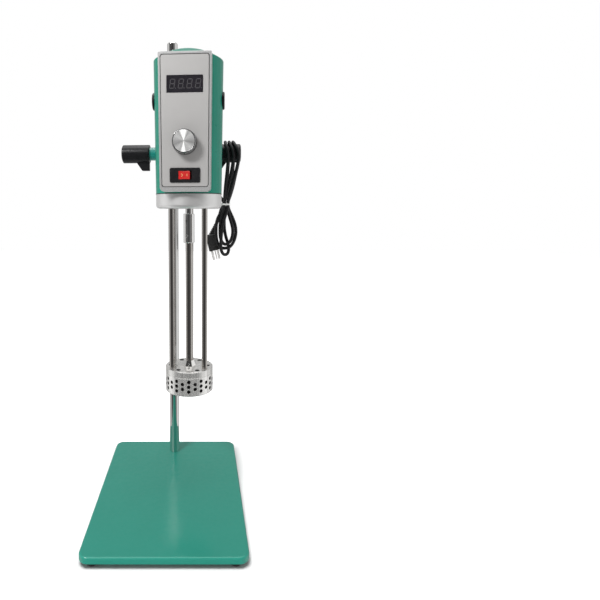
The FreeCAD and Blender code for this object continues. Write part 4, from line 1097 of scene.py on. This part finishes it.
@dataclass
class Clamp:
    """Cross clamp with its two knobs and the rod that carries the head."""

    barrel: tuple[Pair, ...] = ((0, 0), (14.0, 0), (14.0, 41.5), (11.2, 42.9), (5.6, 43.4), (0, 43.5))
    fin: tuple[Pair, ...] = ((0.4, -6.0), (19.0, -6.0), (21.0, -12.8), (11.8, -26.0), (0.4, -26.0))
    fin_thickness: float = 8.0
    voxel: float = 0.42
    easing: int = 6
    starts: dict[str, float] = field(default_factory=lambda: {"left": -36.5, "right": 62.5})

    def build(self) -> None:
        """Dresses the clamp and makes both knobs."""
        refine(
            "clamp_body", "clamp_casting", CLAMP, "head", CLAMP_GREEN, width=0.8, segments=3
        )
        dress(POLISHED, "head_rod")
        for side, start in self.starts.items():
            dress(ZINC, f"{side}_clamp_stud")
            self.make_knob(side, start)

    def make_knob(self, side: str, start: float) -> None:
        """Makes one knob: a barrel with a domed end, and one wedge-shaped fin.

        Args:
            side: left or right.
            start: Where the knob's inner end lies.
        """
        barrel = shifted(turned(f"{side}_knob", self.barrel, steps=64), Matrix.Rotation(radians(90), 4, "Y"))
        half = self.fin_thickness / 2
        fin = sawn("fin", self.fin, -half, half)
        bpy.ops.object.mode_set(mode="OBJECT")
        knob = join(f"{side}_knob", [barrel, fin])
        modify(knob, "REMESH", mode="VOXEL", voxel_size=self.voxel)
        modify(knob, "SMOOTH", factor=0.5, iterations=self.easing)
        bpy.ops.object.shade_smooth()
        turn = pi if side == "left" else 0.0
        shifted(knob, Matrix.Translation((start, 0, 0)) @ Matrix.Rotation(turn, 4, "Z"))
        put(knob, CLAMP, f"{side}_clamp", KNOB_PLASTIC, [f"{side}_clamp_knob"])


# The supply cord


@dataclass
class CableTie:
    """The nylon tie round the strands: a strap, its lock and its cut end."""

    middle: Point = (83.4, 0.0, -78.5)
    strap_half: Point = (6.35, 11.6, 1.3)
    strap_corner: float = 3.0
    strap_thickness: float = 0.9
    lock: tuple[Point, Point] = ((-8.05, 2.0, -2.2), (-5.65, 7.0, 2.2))
    cut_end: tuple[Point, Point] = ((-9.05, 3.2, -1.2), (-7.65, 4.4, 1.2))
    rounding: float = 0.25

    def build(self, body: str) -> None:
        """Makes the tie.

        Args:
            body: The CAD body that it moves with.
        """
        strap = block("cable_tie", [-half for half in self.strap_half], self.strap_half)
        bevel_edges(strap, runs_up, self.strap_corner, segments=6)
        select_faces(strap, lambda middle, normal: abs(normal.z) > FACING)
        bpy.ops.mesh.delete(type="ONLY_FACE")
        finish_edit()
        modify(strap, "SOLIDIFY", thickness=self.strap_thickness, offset=-1)
        parts = [strap]
        for name, corners in (("lock", self.lock), ("end", self.cut_end)):
            parts.append(block(name, *corners))
            bpy.ops.object.mode_set(mode="OBJECT")
        tie = soften(join("cable_tie", parts), self.rounding, segments=2)
        shifted(tie, Matrix.Translation(self.middle))
        put(tie, CLAMP, body, WHITE_PLASTIC, ["cord_tie"])


@dataclass
class MainsPlug:
    """The moulded plug with its ribbed strain relief, and its three flat pins."""

    top: Point = (67.6, 9, -109.7)
    relief_lean: float = 24.0
    relief_length: float = 20.0
    relief_end: float = 4.5
    collar: tuple[Pair, ...] = ((0, 0), (2.75, 0), (3.3, -0.8))
    ribs: int = 6
    rib_start: Pair = (3.3, -1.2)
    rib_step: Pair = (0.22, -3.1)
    rib: tuple[Pair, ...] = ((0, 0), (0, -1.7), (-0.7, -1.9), (-0.7, -2.9))
    lean: float = -14.0
    shell: tuple[Point, Point] = ((-8.5, -7.5, -24), (8.5, 7.5, 0))
    shell_corner: float = 3.2
    shoulder: float = 2.6
    shoulder_taper: Pair = (0.62, 0.66)
    sole_inset: float = 1.6
    sole_depth: float = 0.5
    pin: tuple[Point, Point] = ((-2.5, -0.8, -39), (2.5, 0.8, -23.6))
    pin_places: tuple[tuple[float, float, float], ...] = ((-4.5, -2, 60), (4.5, -2, -60), (0, 4, 90))

    def build(self, body: str) -> list[Piece]:
        """Makes the plug and its pins.

        Args:
            body: The CAD body that they move with.

        Returns:
            The plug and its pins.
        """
        top = Matrix.Translation(self.top) @ Matrix.Rotation(radians(self.relief_lean), 4, "Y")
        joint = top @ Vector((0, 0, -self.relief_length))
        lean = Matrix.Translation(joint) @ Matrix.Rotation(radians(self.lean), 4, "Y")
        relief = shifted(turned("relief", self.relief_profile(), steps=32), top)
        plug = join("mains_plug", [relief, shifted(self.make_shell(), lean)])
        soften(plug, width=0.35, segments=2)
        pins = []
        for x, y, turn in self.pin_places:
            pin = block("pin", *self.pin)
            finish_edit()
            spot = Matrix.Translation((x, y, 0)) @ Matrix.Rotation(radians(turn), 4, "Z")
            pins.append(shifted(pin, lean @ spot))
        blades = soften(join("mains_pins", pins), width=0.3, segments=2)
        return [
            put(plug, CLAMP, body, PLUG_RUBBER, ["plug_body"]),
            put(blades, CLAMP, body, PIN_METAL, ["plug_pins"]),
        ]

    def relief_profile(self) -> list[Pair]:
        """The strain relief's outline, with a groove below each rib.

        Returns:
            Radius and height of each corner.
        """
        profile = list(self.collar)
        for number in range(self.ribs):
            wide = self.rib_start[0] + self.rib_step[0] * number
            height = self.rib_start[1] + self.rib_step[1] * number
            profile += [(wide + out, height + up) for out, up in self.rib]
        return [*profile, (self.relief_end, -self.relief_length), (0, -self.relief_length)]

    def make_shell(self) -> Piece:
        """Makes the plug's shell, with a tapering shoulder and a sunk sole.

        Returns:
            The shell.
        """
        shell = block("shell", *self.shell)
        bevel_edges(shell, runs_up, self.shell_corner, segments=5)
        select_faces(shell, lambda middle, normal: normal.z > FACING)
        bpy.ops.mesh.extrude_region_move(TRANSFORM_OT_translate={"value": (0, 0, self.shoulder)})
        bpy.ops.transform.resize(value=(*self.shoulder_taper, 1), center_override=(0, 0, self.shoulder))
        select_faces(shell, lambda middle, normal: normal.z < -FACING)
        bpy.ops.mesh.inset(thickness=self.sole_inset)
        bpy.ops.mesh.extrude_region_move(TRANSFORM_OT_translate={"value": (0, 0, self.sole_depth)})
        finish_edit()
        return shell


@dataclass
class SupplyCord:
    """The cord from its gland, looped over the right knob and tied, to its plug."""

    radius: float = 2.5
    ring_radius: float = 17.5
    ring_steps: int = 6
    outer_ring: Pair = (102.9, 92.8)
    middle_ring: Pair = (94.4, 87.0)
    inner_ring: Pair = (86.0, 81.2)
    body: str = "head"
    lead: tuple[Point, ...] = (
        (59, -17.5, -53.5), (59, -8.5, -53.5), (62, -1, -56), (68, 5, -61), (74, 7.6, -67), (79.6, 7.9, -74),
    )
    loop_long: tuple[Point, ...] = (
        (80.8, 7.8, -82), (80.6, 7.6, -94), (80.2, 7.2, -106), (80.6, 6.8, -118), (83, 6.4, -130),
        (86.8, 5.8, -141), (88, 4.6, -150), (85.8, 1.4, -157.2), (79.6, -2.6, -157.6), (76, -6.6, -151),
        (75.4, -8.6, -142), (75.8, -9, -131), (77, -9, -118), (79.6, -9, -104), (83.6, -8.6, -92),
        (86, -7.9, -84), (86, -7.8, -74),
    )
    loop_wide: tuple[Point, ...] = (
        (86, 7.8, -74), (86.4, 7.7, -84), (90.6, 7, -93), (95.6, 6.2, -104), (98.8, 5.2, -115),
        (99, 4.2, -126), (95.8, 2, -137), (90.4, -0.4, -145), (83, -1, -147.4), (75.6, -1, -147),
        (70.2, -3.8, -140), (68, -6.2, -129), (67.8, -6.4, -116), (68.8, -5.6, -104), (72.8, -4, -95),
        (78.2, -2.8, -87), (80.8, -2.6, -80), (80.8, -2.6, -74),
    )
    loop_small: tuple[Point, ...] = (
        (86, 2.6, -74), (86.1, 2.6, -84), (88, 2.6, -96), (91.6, 1.8, -107), (94, 0.8, -117),
        (93.8, -0.4, -127), (90.6, -2, -136), (84.8, -3.4, -141.4), (78.4, -3.4, -140), (74.4, -3.4, -131.4),
        (73.8, -4.4, -119), (74.4, -6.4, -106), (77.4, -7.8, -95), (80.6, -7.9, -85), (80.8, -7.8, -74),
    )
    tail: tuple[Point, ...] = (
        (80.8, 2.6, -74), (80.2, 2.6, -80), (75.6, 3.4, -85), (74, 5.4, -91), (72.2, 8, -97.5),
        (70.4, 9, -103.4), (67.6, 9, -109.7),
    )
    outer_front: tuple[Point, ...] = (
        (88.2, -9, -66), (92.2, -11.6, -50), (96.8, -14.4, -34), (100.8, -16.6, -18), (102.8, -17.4, -6),
    )
    outer_back: tuple[Point, ...] = (
        (102.8, 17.4, -6), (101, 16.7, -18), (97.2, 14.6, -34), (94, 12.4, -50), (89.2, 9.8, -66),
    )
    middle_front: tuple[Point, ...] = (
        (83, -4.6, -66), (86.4, -7.4, -50), (90.2, -11, -34), (93.2, -15, -18), (94.5, -17.3, -6),
    )
    middle_back: tuple[Point, ...] = (
        (94.6, 17.3, -6), (94, 15.8, -18), (92.2, 12.4, -34), (89.8, 8.2, -50), (87.4, 4.6, -66),
    )
    inner_front: tuple[Point, ...] = (
        (81.2, -9.6, -66), (82.4, -12, -50), (84.2, -14.4, -34), (85.8, -16.4, -18), (86.6, -17.4, -6),
    )
    inner_back: tuple[Point, ...] = (
        (86.6, 17.3, -6), (86, 15.8, -18), (84.8, 12.4, -34), (83, 8.4, -50), (81.6, 4.8, -66),
    )

    def over_knob(self, low: float, high: float) -> list[Point]:
        """One turn over the knob, from its front to its back.

        Args:
            low: Where along the knob it lies at the knob's sides.
            high: Where it lies on top.

        Returns:
            The route's points.
        """
        r = self.ring_radius
        angles = [pi * (step + 0.5) / self.ring_steps for step in range(self.ring_steps)]
        return [(low + (high - low) * sin(angle), -r * cos(angle), r * sin(angle)) for angle in angles]

    def route(self) -> list[Point]:
        """The whole cord's points, in the clamp's frame.

        Returns:
            The points from the gland to the plug.
        """
        return [
            *self.lead, *self.loop_long,
            *self.outer_front, *self.over_knob(*self.outer_ring), *self.outer_back, *self.loop_wide,
            *self.middle_front, *self.over_knob(*self.middle_ring), *self.middle_back, *self.loop_small,
            *self.inner_front, *self.over_knob(*self.inner_ring), *self.inner_back, *self.tail,
        ]

    def build(self) -> None:
        """Makes the cord, its tie, gland and plug."""
        dress(PLUG_RUBBER, "cord_gland")
        CableTie().build(self.body)
        self.make_cord(MainsPlug().build(self.body))

    def make_cord(self, ends: list[Piece]) -> None:
        """Makes the cord as one smooth line.

        Args:
            ends: The pieces on its far end; not used.
        """
        points = [CLAMP @ (Vector(point) * MILLIMETRE) for point in self.route()]
        curve = bpy.data.curves.new("supply_cord", "CURVE")
        curve.dimensions = "3D"
        curve.bevel_depth = self.radius * MILLIMETRE
        curve.bevel_resolution = 5
        curve.resolution_u = 6
        curve.use_fill_caps = True
        line = curve.splines.new("NURBS")
        line.points.add(len(points) - 1)
        for spot, place in zip(line.points, points):
            spot.co = (*place, 1)
        line.order_u = 3
        line.use_endpoint_u = True
        cord = bpy.data.objects.new("supply_cord", curve)
        bpy.context.scene.collection.objects.link(cord)
        curve.materials.append(CORD.material())
        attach(cord, self.body)
        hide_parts("cord_lead", "cord_hank", "cord_tail")
        length = self.measure(curve)
        log.info("supply_cord: %.3f m", length)

    @staticmethod
    def measure(curve: bpy.types.Curve) -> float:
        """The length of a curve's own line.

        Args:
            curve: The curve.

        Returns:
            Its length in metres.
        """
        bare = curve.copy()
        bare.bevel_depth = 0
        holder = bpy.data.objects.new("line", bare)
        mesh = bpy.data.meshes.new_from_object(holder)
        spots = [vertex.co.copy() for vertex in mesh.vertices]
        total = sum((b - a).length for a, b in zip(spots, spots[1:]))
        bpy.data.objects.remove(holder)
        bpy.data.meshes.remove(mesh)
        bpy.data.curves.remove(bare)
        return total


# The motor head


@dataclass
class MotorHead:
    """Housing, cap and lower casting, with the motor inside."""

    # A thin black ring at the joint of housing and lower casting, painted shade for the shadow line there.
    seam_shade_ring: tuple[Pair, ...] = ((46.2, 20.05), (46.95, 20.05), (46.95, 21.0), (46.2, 21.0), (46.2, 20.05))
    body: str = "head"

    def build(self) -> None:
        """Dresses the castings, their screws and the motor."""
        refine("motor_housing", "enamelled_housing", HEAD, self.body, GREEN, width=0.4)
        refine("top_cap", "domed_cap", HEAD, self.body, GREEN, width=0.5)
        dress(ZINC, "cap_screws", "motor_bolts")
        refine(
            "lower_flange", "lower_casting", HEAD, self.body, SILVER, width=0.6, segments=3
        )
        refine("brush_caps", "carbon_caps", HEAD, self.body, KNOB_PLASTIC, width=0.4)
        # Painted shade: the black ring darkens the seam between housing and lower casting.
        ring = turned("housing_seam_shade", self.seam_shade_ring, steps=96)
        put(soften(ring, width=0.1, segments=2), HEAD, self.body, RUBBER_AND_SHADE_BLACK)
        self.dress_motor()

    def dress_motor(self) -> None:
        """Dresses the parts that only show when the head is opened."""
        dress(POLISHED, "lower_bearing", "upper_bearing", "motor_shaft")
        dress(SILVER, "bearing_bracket")
        dress(LAMINATED, "field_stack", "armature_core")
        dress(WIRE, "field_coils", "armature_windings")
        dress(COPPER, "commutator")
        dress(BRONZE, "brush_holders")
        dress(CARBON, "carbon_brushes")
        dress(SPRING, "brush_springs")
        dress(KNOB_PLASTIC, "cooling_fan")


# The front panel


@dataclass
class FrontPanel:
    """Panel shell, face plate, display, speed knob and power switch."""

    front: float = 55.0
    plate_low: float = 28.3
    plate_high: float = 196.6
    plate_half_low: float = 30.6
    plate_half_high: float = 31.8
    plate_corner: float = 3.0
    plate_half: Pair = (31.2, 84.2)
    rim_width: float = 0.6
    rim_corner: float = 3.5
    flat_from: float = 0.97
    # A black strip in the face plate's groove, painted shade: its reach outside the plate, inside it, and
    # its depth.
    groove_shade_edge: float = 0.43
    groove_shade_inside: float = -0.45
    groove_shade_depth: Pair = (0.15, 1.6)
    trim: float = 0.5
    display_spot: Pair = (0.7, 159.5)
    display_front: float = 55.6
    digit_count: int = 4
    digit_size: Pair = (5.8, 11.2)
    digit_pitch: float = 11.1
    digit_stroke: float = 1.1
    digit_slant: float = 8.0
    digit_relief: float = 0.04
    point_radius: float = 0.75
    point_gap: float = 1.2
    rocker_place: Point = (0.0, -52.0, 43.3)
    rocker_tilt: float = -8.0
    rocker_dish: float = 8.9
    mark_depth: float = 5.43
    mark_reach: float = 3.7
    ring: tuple[Pair, ...] = ((1.15, 0), (1.75, 0), (1.75, 0.06), (1.15, 0.06), (1.15, 0))
    stroke: tuple[Point, Point] = ((-0.32, -0.06, -1.75), (0.32, 0, 1.75))
    knob_z: float = 85.6
    knob: tuple[Pair, ...] = (
        (3.05, 0.4), (16.3, 0.4), (16.3, 1.4), (15.9, 1.8), (15.9, 2.7), (15.6, 3.0), (15.6, 13.5),
        (14.9, 14.35), (14.0, 14.35), (14.0, 13.2), (3.05, 13.2), (3.05, 0.4),
    )
    knob_face: tuple[Pair, ...] = ((0, 13.3), (13.95, 13.3), (13.95, 14.4), (0, 14.4))
    # Painted highlights on the speed knob's face: angle round the face, and the brightness painted there.
    painted_wedge_fan: tuple[Pair, ...] = (
        (0.0, 0.30), (0.06, 0.24), (0.13, 0.42), (0.19, 0.34), (0.225, 0.95), (0.26, 0.95), (0.29, 0.36),
        (0.38, 0.46), (0.47, 0.22), (0.56, 0.36), (0.62, 0.44), (0.68, 0.30), (0.73, 1.0), (0.79, 1.0),
        (0.83, 0.34), (0.90, 0.46), (1.0, 0.30),
    )
    body: str = "head"

    def build(self) -> None:
        """Makes and dresses the panel."""
        refine(
            "panel_box", "panel_shell", HEAD, self.body, PANEL_SHELL, width=0.75, segments=3
        )
        self.make_face()
        refine(
            "display_window", "smoked_window", HEAD, self.body, WINDOW, width=0.3, segments=2
        )
        self.make_digits()
        dress(GLOSS_BLACK, "display_module", "switch_body")
        dress(BOARD, "control_board")
        dress(ZINC, "potentiometer", "speed_spindle")
        refine(
            "switch_bezel", "switch_frame", HEAD, self.body, GLOSS_BLACK, width=0.5, segments=3
        )
        self.make_rocker()
        self.make_speed_knob()

    def slab(self, name: str, grow: float, front: float, back: float) -> Piece:
        """Saws a slab with the face plate's tapering, round-cornered outline.

        Args:
            name: The piece's name.
            grow: How far its edge lies outside the plate's.
            front: Where its front lies, back being positive.
            back: Where its back lies.

        Returns:
            The slab, in object mode.
        """
        low, high = self.plate_half_low + grow, self.plate_half_high + grow
        bottom, top = self.plate_low - grow, self.plate_high + grow
        piece = sawn(name, [(-low, bottom), (low, bottom), (high, top), (-high, top)], front, back)
        bevel_edges(piece, runs_back, self.plate_corner + grow, segments=6)
        finish_edit()
        return piece

    def on_rim(self, middle: Vector, normal: Vector) -> bool:
        """Whether a face of the plate belongs to its outer rim.

        Args:
            middle: The face's middle.
            normal: Its normal.

        Returns:
            True on the rim.
        """
        rise = (middle.z - self.plate_low) / (self.plate_high - self.plate_low)
        half = self.plate_half_low + rise * (self.plate_half_high - self.plate_half_low)
        across, edge, corner = abs(middle.x), self.rim_width, self.rim_corner
        inside = self.plate_low + edge < middle.z < self.plate_high - edge and across < half - edge
        at_corner = across > half - corner and (
            not self.plate_low + corner < middle.z < self.plate_high - corner
        )
        return abs(normal.y) < self.flat_from and (not inside or at_corner)

    def make_face(self) -> None:
        """Rounds the face plate's edges and lays a thin black strip into the groove round it as painted
        shade.
        """
        face = eased("face_plate", "face_sheet", HEAD, width=0.3)
        take(face)
        bpy.ops.object.mode_set(mode="EDIT")
        select_faces(face, self.on_rim)
        bpy.ops.mesh.select_mode(type="VERT")
        narrower, lower = (1 - self.trim / half for half in self.plate_half)
        middle = (0, 0, (self.plate_low + self.plate_high) / 2)
        bpy.ops.transform.resize(value=(narrower, 1, lower), center_override=middle)
        bpy.ops.object.mode_set(mode="OBJECT")
        put(face, HEAD, self.body, PANEL_FACE, ["face_plate"])
        # The black strip stands for the shade in the groove.
        low, high = (depth - self.front for depth in self.groove_shade_depth)
        groove_shade = self.slab("face_groove_shade", self.groove_shade_edge, low, high)
        carve(groove_shade, self.slab("middle", self.groove_shade_inside, low - 1.0, high + 1.0))
        put(soften(groove_shade, width=0.08, segments=2), HEAD, self.body, RUBBER_AND_SHADE_BLACK)

    def segment(self, start: tuple[float, float], end: tuple[float, float]) -> Piece:
        """Saws one pointed segment of a digit, slanted as the digit is.

        Args:
            start: Across and up of its first point.
            end: Across and up of its last point.

        Returns:
            The segment, in object mode.
        """
        a, b = Vector(start), Vector(end)
        along = (b - a).normalized() * self.digit_stroke / 2
        side = Vector((-along.y, along.x))
        a, b = a + along * 0.3, b - along * 0.3
        corners = [a, a + along - side, b - along - side, b, b - along + side, a + along + side]
        slant = tan(radians(self.digit_slant))
        leaned = [(corner.x + slant * corner.y, corner.y) for corner in corners]
        piece = sawn("segment", leaned, -self.display_front - self.digit_relief, -self.display_front)
        finish_edit()
        return piece

    def make_digits(self) -> None:
        """Makes one idle digit with its point, and sets copies of it side by side."""
        half, tall = self.digit_size[0] / 2, self.digit_size[1] / 2
        bars = [
            ((-half, tall), (half, tall)), ((-half, 0), (half, 0)), ((-half, -tall), (half, -tall)),
            ((-half, 0), (-half, tall)), ((half, 0), (half, tall)),
            ((-half, -tall), (-half, 0)), ((half, -tall), (half, 0)),
        ]
        pieces = [self.segment(start, end) for start, end in bars]
        r, thick = self.point_radius, self.digit_relief
        dot = turned("point", [(0, 0), (r, 0), (r, thick), (0, thick)], steps=16)
        spot = Matrix.Translation((half + self.point_gap, -self.display_front, -tall))
        pieces.append(shifted(dot, spot @ facing_front()))
        across, up = self.display_spot
        start = across - (self.digit_count - 1) / 2 * self.digit_pitch
        first = shifted(join("idle_digits", pieces), Matrix.Translation((start, 0, up)))
        digits = [first]
        for number in range(1, self.digit_count):
            digits.append(copied(first, Matrix.Translation((number * self.digit_pitch, 0, 0))))
        put(join("idle_digits", digits), HEAD, self.body, SEGMENT)

    def make_rocker(self) -> None:
        """Rounds the red rocker and gives it its ring and its stroke."""
        refine(
            "power_rocker", "red_rocker", HEAD, "power_switch", RED,
            width=0.45, segments=3, angle=25.0
        )
        tilt = Matrix.Translation(self.rocker_place) @ Matrix.Rotation(radians(self.rocker_tilt), 4, "Z")
        dish = Matrix.Rotation(radians(self.rocker_dish), 4, "Z")
        left, right = (
            Matrix.Translation((reach, -self.mark_depth, 0)) for reach in (-self.mark_reach, self.mark_reach)
        )
        ring = shifted(turned("ring", self.ring, steps=32), left @ dish.inverted() @ facing_front())
        stroke = block("stroke", *self.stroke)
        finish_edit()
        marks = shifted(join("rocker_marks", [ring, shifted(stroke, right @ dish)]), tilt)
        put(soften(marks, width=0.02, segments=1), HEAD, "power_switch", SWITCH_MARK)

    def make_speed_knob(self) -> None:
        """Turns the aluminium speed knob with its skirt and spun face; its side and skirt are darkened as
        painted shade, its face carries painted highlights.
        """
        place = Matrix.Translation((0, -self.front, self.knob_z)) @ facing_front()
        barrel = soften(turned("knob_barrel", self.knob, steps=96), width=0.2, segments=2)
        put(shifted(barrel, place), HEAD, "speed_control", KNOB_EDGE, ["speed_knob"])
        disc = soften(turned("knob_face", self.knob_face, steps=96), width=0.12, segments=2)
        centre = HEAD @ Vector((0, -self.front * MILLIMETRE, self.knob_z * MILLIMETRE))
        finish = SpunDisc("spun aluminium face", tuple(centre), self.painted_wedge_fan)
        put(shifted(disc, place), HEAD, "speed_control", finish)


# The work head


@dataclass
class WorkHead:
    """Rods, shaft, coupling, stator and rotor."""

    screw_z: float = -227.3
    screw: tuple[Pair, ...] = (
        (0, 6.4), (1.45, 6.4), (1.45, 8.6), (1.1, 8.9), (0.7, 8.9), (0.7, 7.6), (0, 7.6),
    )

    def build(self) -> None:
        """Makes and dresses the work head."""
        dress(GROUND, "support_rod_left", "support_rod_right", "support_rod_rear", "drive_shaft")
        refine("coupling", "rigid_coupling", HEAD, "rotor_train", CHROME, width=0.25)
        dress(ZINC, "coupling_screws", "stator_screws", "rotor_nut")
        dress(STATOR_TOP, "stator_top_plate")
        dress(STATOR_SKIN, "stator_skirt")
        dress(ROTOR_STEEL, "rotor")
        refine("shaft_bush", "hexagon_bush", HEAD, "head", BUSH_STEEL, width=0.35)
        screw = turned("bush_screw", self.screw, steps=24)
        shifted(screw, Matrix.Translation((0, 0, self.screw_z)) @ facing_front())
        put(soften(screw, width=0.08, segments=1), HEAD, "head", KNOB_EDGE)


# The studio


class Floor(Enum):
    """How a lamp and the floor go together, as light linking calls it."""

    SHARED = ""
    ALONE = "INCLUDE"
    LEFT_OUT = "EXCLUDE"


@dataclass(frozen=True)
class Lamp:
    """A soft square lamp: its place, power and size, and whether the metal mirrors it."""

    name: str
    place: Point
    power: float
    size: float
    mirrored: bool
    floor: Floor


@dataclass
class Studio:
    """Pale floor, soft light and the camera of the photograph."""

    camera_place: Point = (0.0421, -0.640, 0.4097)
    camera_tilt: float = 84.27
    lens: float = 28.19
    shift: Pair = (0.1667, -0.0692)
    aim: Point = (0.02, 0.0, 0.35)
    ambient: float = 0.52
    floor_middle: Point = (0.0, 1.55, 0.0)
    floor_size: Point = (7.0, 5.3, 1.0)
    floor_greys: Pair = (0.57, 0.59)
    floor_glow: float = 0.8
    glow_reach: float = 0.03
    plate_reach: Pair = (0.1, 0.138)
    round_about: tuple[Pair, ...] = (
        (0.0, 0.6), (0.10, 0.5), (0.16, 0.45), (0.20, 0.8), (0.27, 0.8), (0.30, 0.32), (0.33, 0.20),
        (0.36, 0.08), (0.43, 0.10), (0.48, 0.05), (0.53, 0.05), (0.57, 0.18), (0.61, 0.12), (0.65, 0.36),
        (0.69, 0.8), (0.79, 0.95), (0.84, 0.6), (0.90, 0.5), (1.0, 0.6),
    )
    ceiling_share: tuple[Pair, ...] = (
        (0.0, 0.0), (0.60, 0.0), (0.72, 1.0), (0.78, 1.0), (0.84, 1.0), (1.0, 1.0),
    )
    ceiling_level: tuple[Pair, ...] = (
        (0.0, 0.0), (0.60, 0.0), (0.72, 0.5), (0.78, 0.6), (0.84, 1.5), (1.0, 1.7),
    )
    ceiling_peak: float = 2.4
    lamps: tuple[Lamp, ...] = (
        Lamp("key_lamp", (-1.2, -1.5, 1.8), 58.0, 0.7, True, Floor.LEFT_OUT),
        Lamp("fill_lamp", (1.6, -1.3, 0.8), 7.0, 1.6, False, Floor.LEFT_OUT),
        Lamp("top_lamp", (0.1, 0.2, 2.4), 14.0, 1.4, True, Floor.SHARED),
        Lamp("floor_lamp", (-0.25, -0.32, 1.6), 34.0, 0.8, False, Floor.ALONE),
    )

    def build(self) -> None:
        """Sets the studio up."""
        scene = bpy.context.scene
        scene.view_settings.view_transform = "Standard"
        floor = self.lay_floor()
        self.light_world()
        for lamp in self.lamps:
            self.hang(lamp, floor)
        camera = bpy.data.cameras.new("camera")
        camera.lens = self.lens
        camera.sensor_width = 36.0
        camera.shift_x, camera.shift_y = self.shift
        camera.clip_start = 0.01
        holder = bpy.data.objects.new("camera", camera)
        holder.location = self.camera_place
        holder.rotation_euler = (radians(self.camera_tilt), 0, 0)
        scene.collection.objects.link(holder)
        scene.camera = holder

    def lay_floor(self) -> Piece:
        """Lays the pale floor, which the metal doesn't mirror and which glows away from the plate.

        Returns:
            The floor.
        """
        deselect()
        bpy.ops.mesh.primitive_plane_add(size=1, location=self.floor_middle)
        floor = bpy.context.object
        floor.name = "studio_floor"
        floor.scale = self.floor_size
        floor.visible_glossy = False
        bpy.ops.object.transform_apply(location=True, rotation=True, scale=True)
        recipe = Recipe("pale studio floor")
        recipe.tint(recipe.noise(recipe.place(), scale=2.0), *(grey(level) for level in self.floor_greys))
        recipe.set(Roughness=0.9, Specular_IOR_Level=0.1)
        recipe.shader.inputs["Emission Color"].default_value = (1, 1, 1, 1)
        beyond = recipe.vector("SUBTRACT", recipe.vector("ABSOLUTE", recipe.place()), (*self.plate_reach, 0))
        away = recipe.vector("LENGTH", recipe.vector("MAXIMUM", beyond, (0, 0, 0)))
        glow = recipe.between(away, 0.0, self.floor_glow, start=0.0, end=self.glow_reach)
        recipe.link(glow, recipe.shader.inputs["Emission Strength"])
        floor.data.materials.append(recipe.material)
        return floor

    def light_world(self) -> None:
        """White for the eye, even light on surfaces, and a room with a dark front in reflections."""
        world = bpy.data.worlds.new("studio")
        bpy.context.scene.world = world
        world.use_nodes = True
        nodes = Nodes(world.node_tree)
        nodes.tree.nodes.clear()
        path = nodes.add("ShaderNodeLightPath")
        even = self.background(nodes, (1, 1, 1, 1), self.ambient)
        mirrored = self.background(nodes, self.room(nodes), 1.0)
        seen = self.background(nodes, (1, 1, 1, 1), 1.0)
        unseen = self.chosen(nodes, path.outputs["Is Glossy Ray"], even, mirrored)
        shader = self.chosen(nodes, path.outputs["Is Camera Ray"], unseen, seen)
        nodes.link(shader, nodes.add("ShaderNodeOutputWorld").inputs["Surface"])

    def room(self, nodes: Nodes) -> Socket:
        """The room that the metal mirrors: its walls all round, under a bright ceiling.

        Args:
            nodes: The world's node tree.

        Returns:
            The room's colour.
        """
        where = nodes.add("ShaderNodeTexCoord").outputs["Generated"]
        around = nodes.add("ShaderNodeTexGradient", gradient_type="RADIAL")
        nodes.link(nodes.mapped(where, Rotation=(0, 0, radians(90))), around.inputs["Vector"])
        split = nodes.add("ShaderNodeSeparateXYZ")
        nodes.link(where, split.inputs["Vector"])
        height = split.outputs["Z"]
        walls = nodes.ramp(around.outputs["Fac"], [(spot, grey(level)) for spot, level in self.round_about])
        share = nodes.ramp(height, [(spot, grey(level)) for spot, level in self.ceiling_share])
        dimmed = [(spot, grey(level / self.ceiling_peak)) for spot, level in self.ceiling_level]
        lift = nodes.add("ShaderNodeVectorMath", operation="SCALE")
        lift.inputs["Scale"].default_value = self.ceiling_peak
        nodes.link(nodes.ramp(height, dimmed), lift.inputs[0])
        return nodes.blended(share, walls, lift.outputs["Vector"])

    @staticmethod
    def background(nodes: Nodes, colour: Socket | Sequence[float], strength: float) -> Socket:
        """Adds a background.

        Args:
            nodes: The world's node tree.
            colour: Its colour.
            strength: How bright it is.

        Returns:
            Its shader.
        """
        node = nodes.add("ShaderNodeBackground")
        nodes.give(colour, node.inputs["Color"])
        node.inputs["Strength"].default_value = strength
        return node.outputs["Background"]

    @staticmethod
    def chosen(nodes: Nodes, share: Socket, first: Socket, second: Socket) -> Socket:
        """Chooses between two shaders.

        Args:
            nodes: The world's node tree.
            share: 0 for the first and 1 for the second.
            first: The first shader.
            second: The second shader.

        Returns:
            The chosen shader.
        """
        node = nodes.add("ShaderNodeMixShader")
        for value, end in zip((share, first, second), node.inputs):
            nodes.link(value, end)
        return node.outputs["Shader"]

    def hang(self, lamp: Lamp, floor: Piece) -> None:
        """Hangs a lamp, and says whether it lights the floor.

        Args:
            lamp: The lamp.
            floor: The floor.
        """
        light = bpy.data.lights.new(lamp.name, "AREA")
        light.energy = lamp.power
        light.size = lamp.size
        holder = bpy.data.objects.new(lamp.name, light)
        holder.location = lamp.place
        aim = Vector(self.aim) - Vector(lamp.place)
        holder.rotation_euler = aim.to_track_quat("-Z", "Y").to_euler()
        holder.visible_glossy = lamp.mirrored
        if lamp.floor is not Floor.SHARED:
            receivers = bpy.data.collections.new(f"{lamp.name}_receivers")
            receivers.objects.link(floor)
            receivers.collection_objects[0].light_linking.link_state = lamp.floor.value
            holder.light_linking.receiver_collection = receivers
        bpy.context.scene.collection.objects.link(holder)


def main() -> None:
    """Builds the mixer and its studio in order."""
    logging.basicConfig(level=logging.INFO, format="%(message)s")
    for part in (Studio(), SupplyCord(), Stand(), Clamp(), MotorHead(), FrontPanel(), WorkHead()):
        part.build()
        log.info("%s is built", type(part).__name__)


if __name__ == "__main__":
    main()
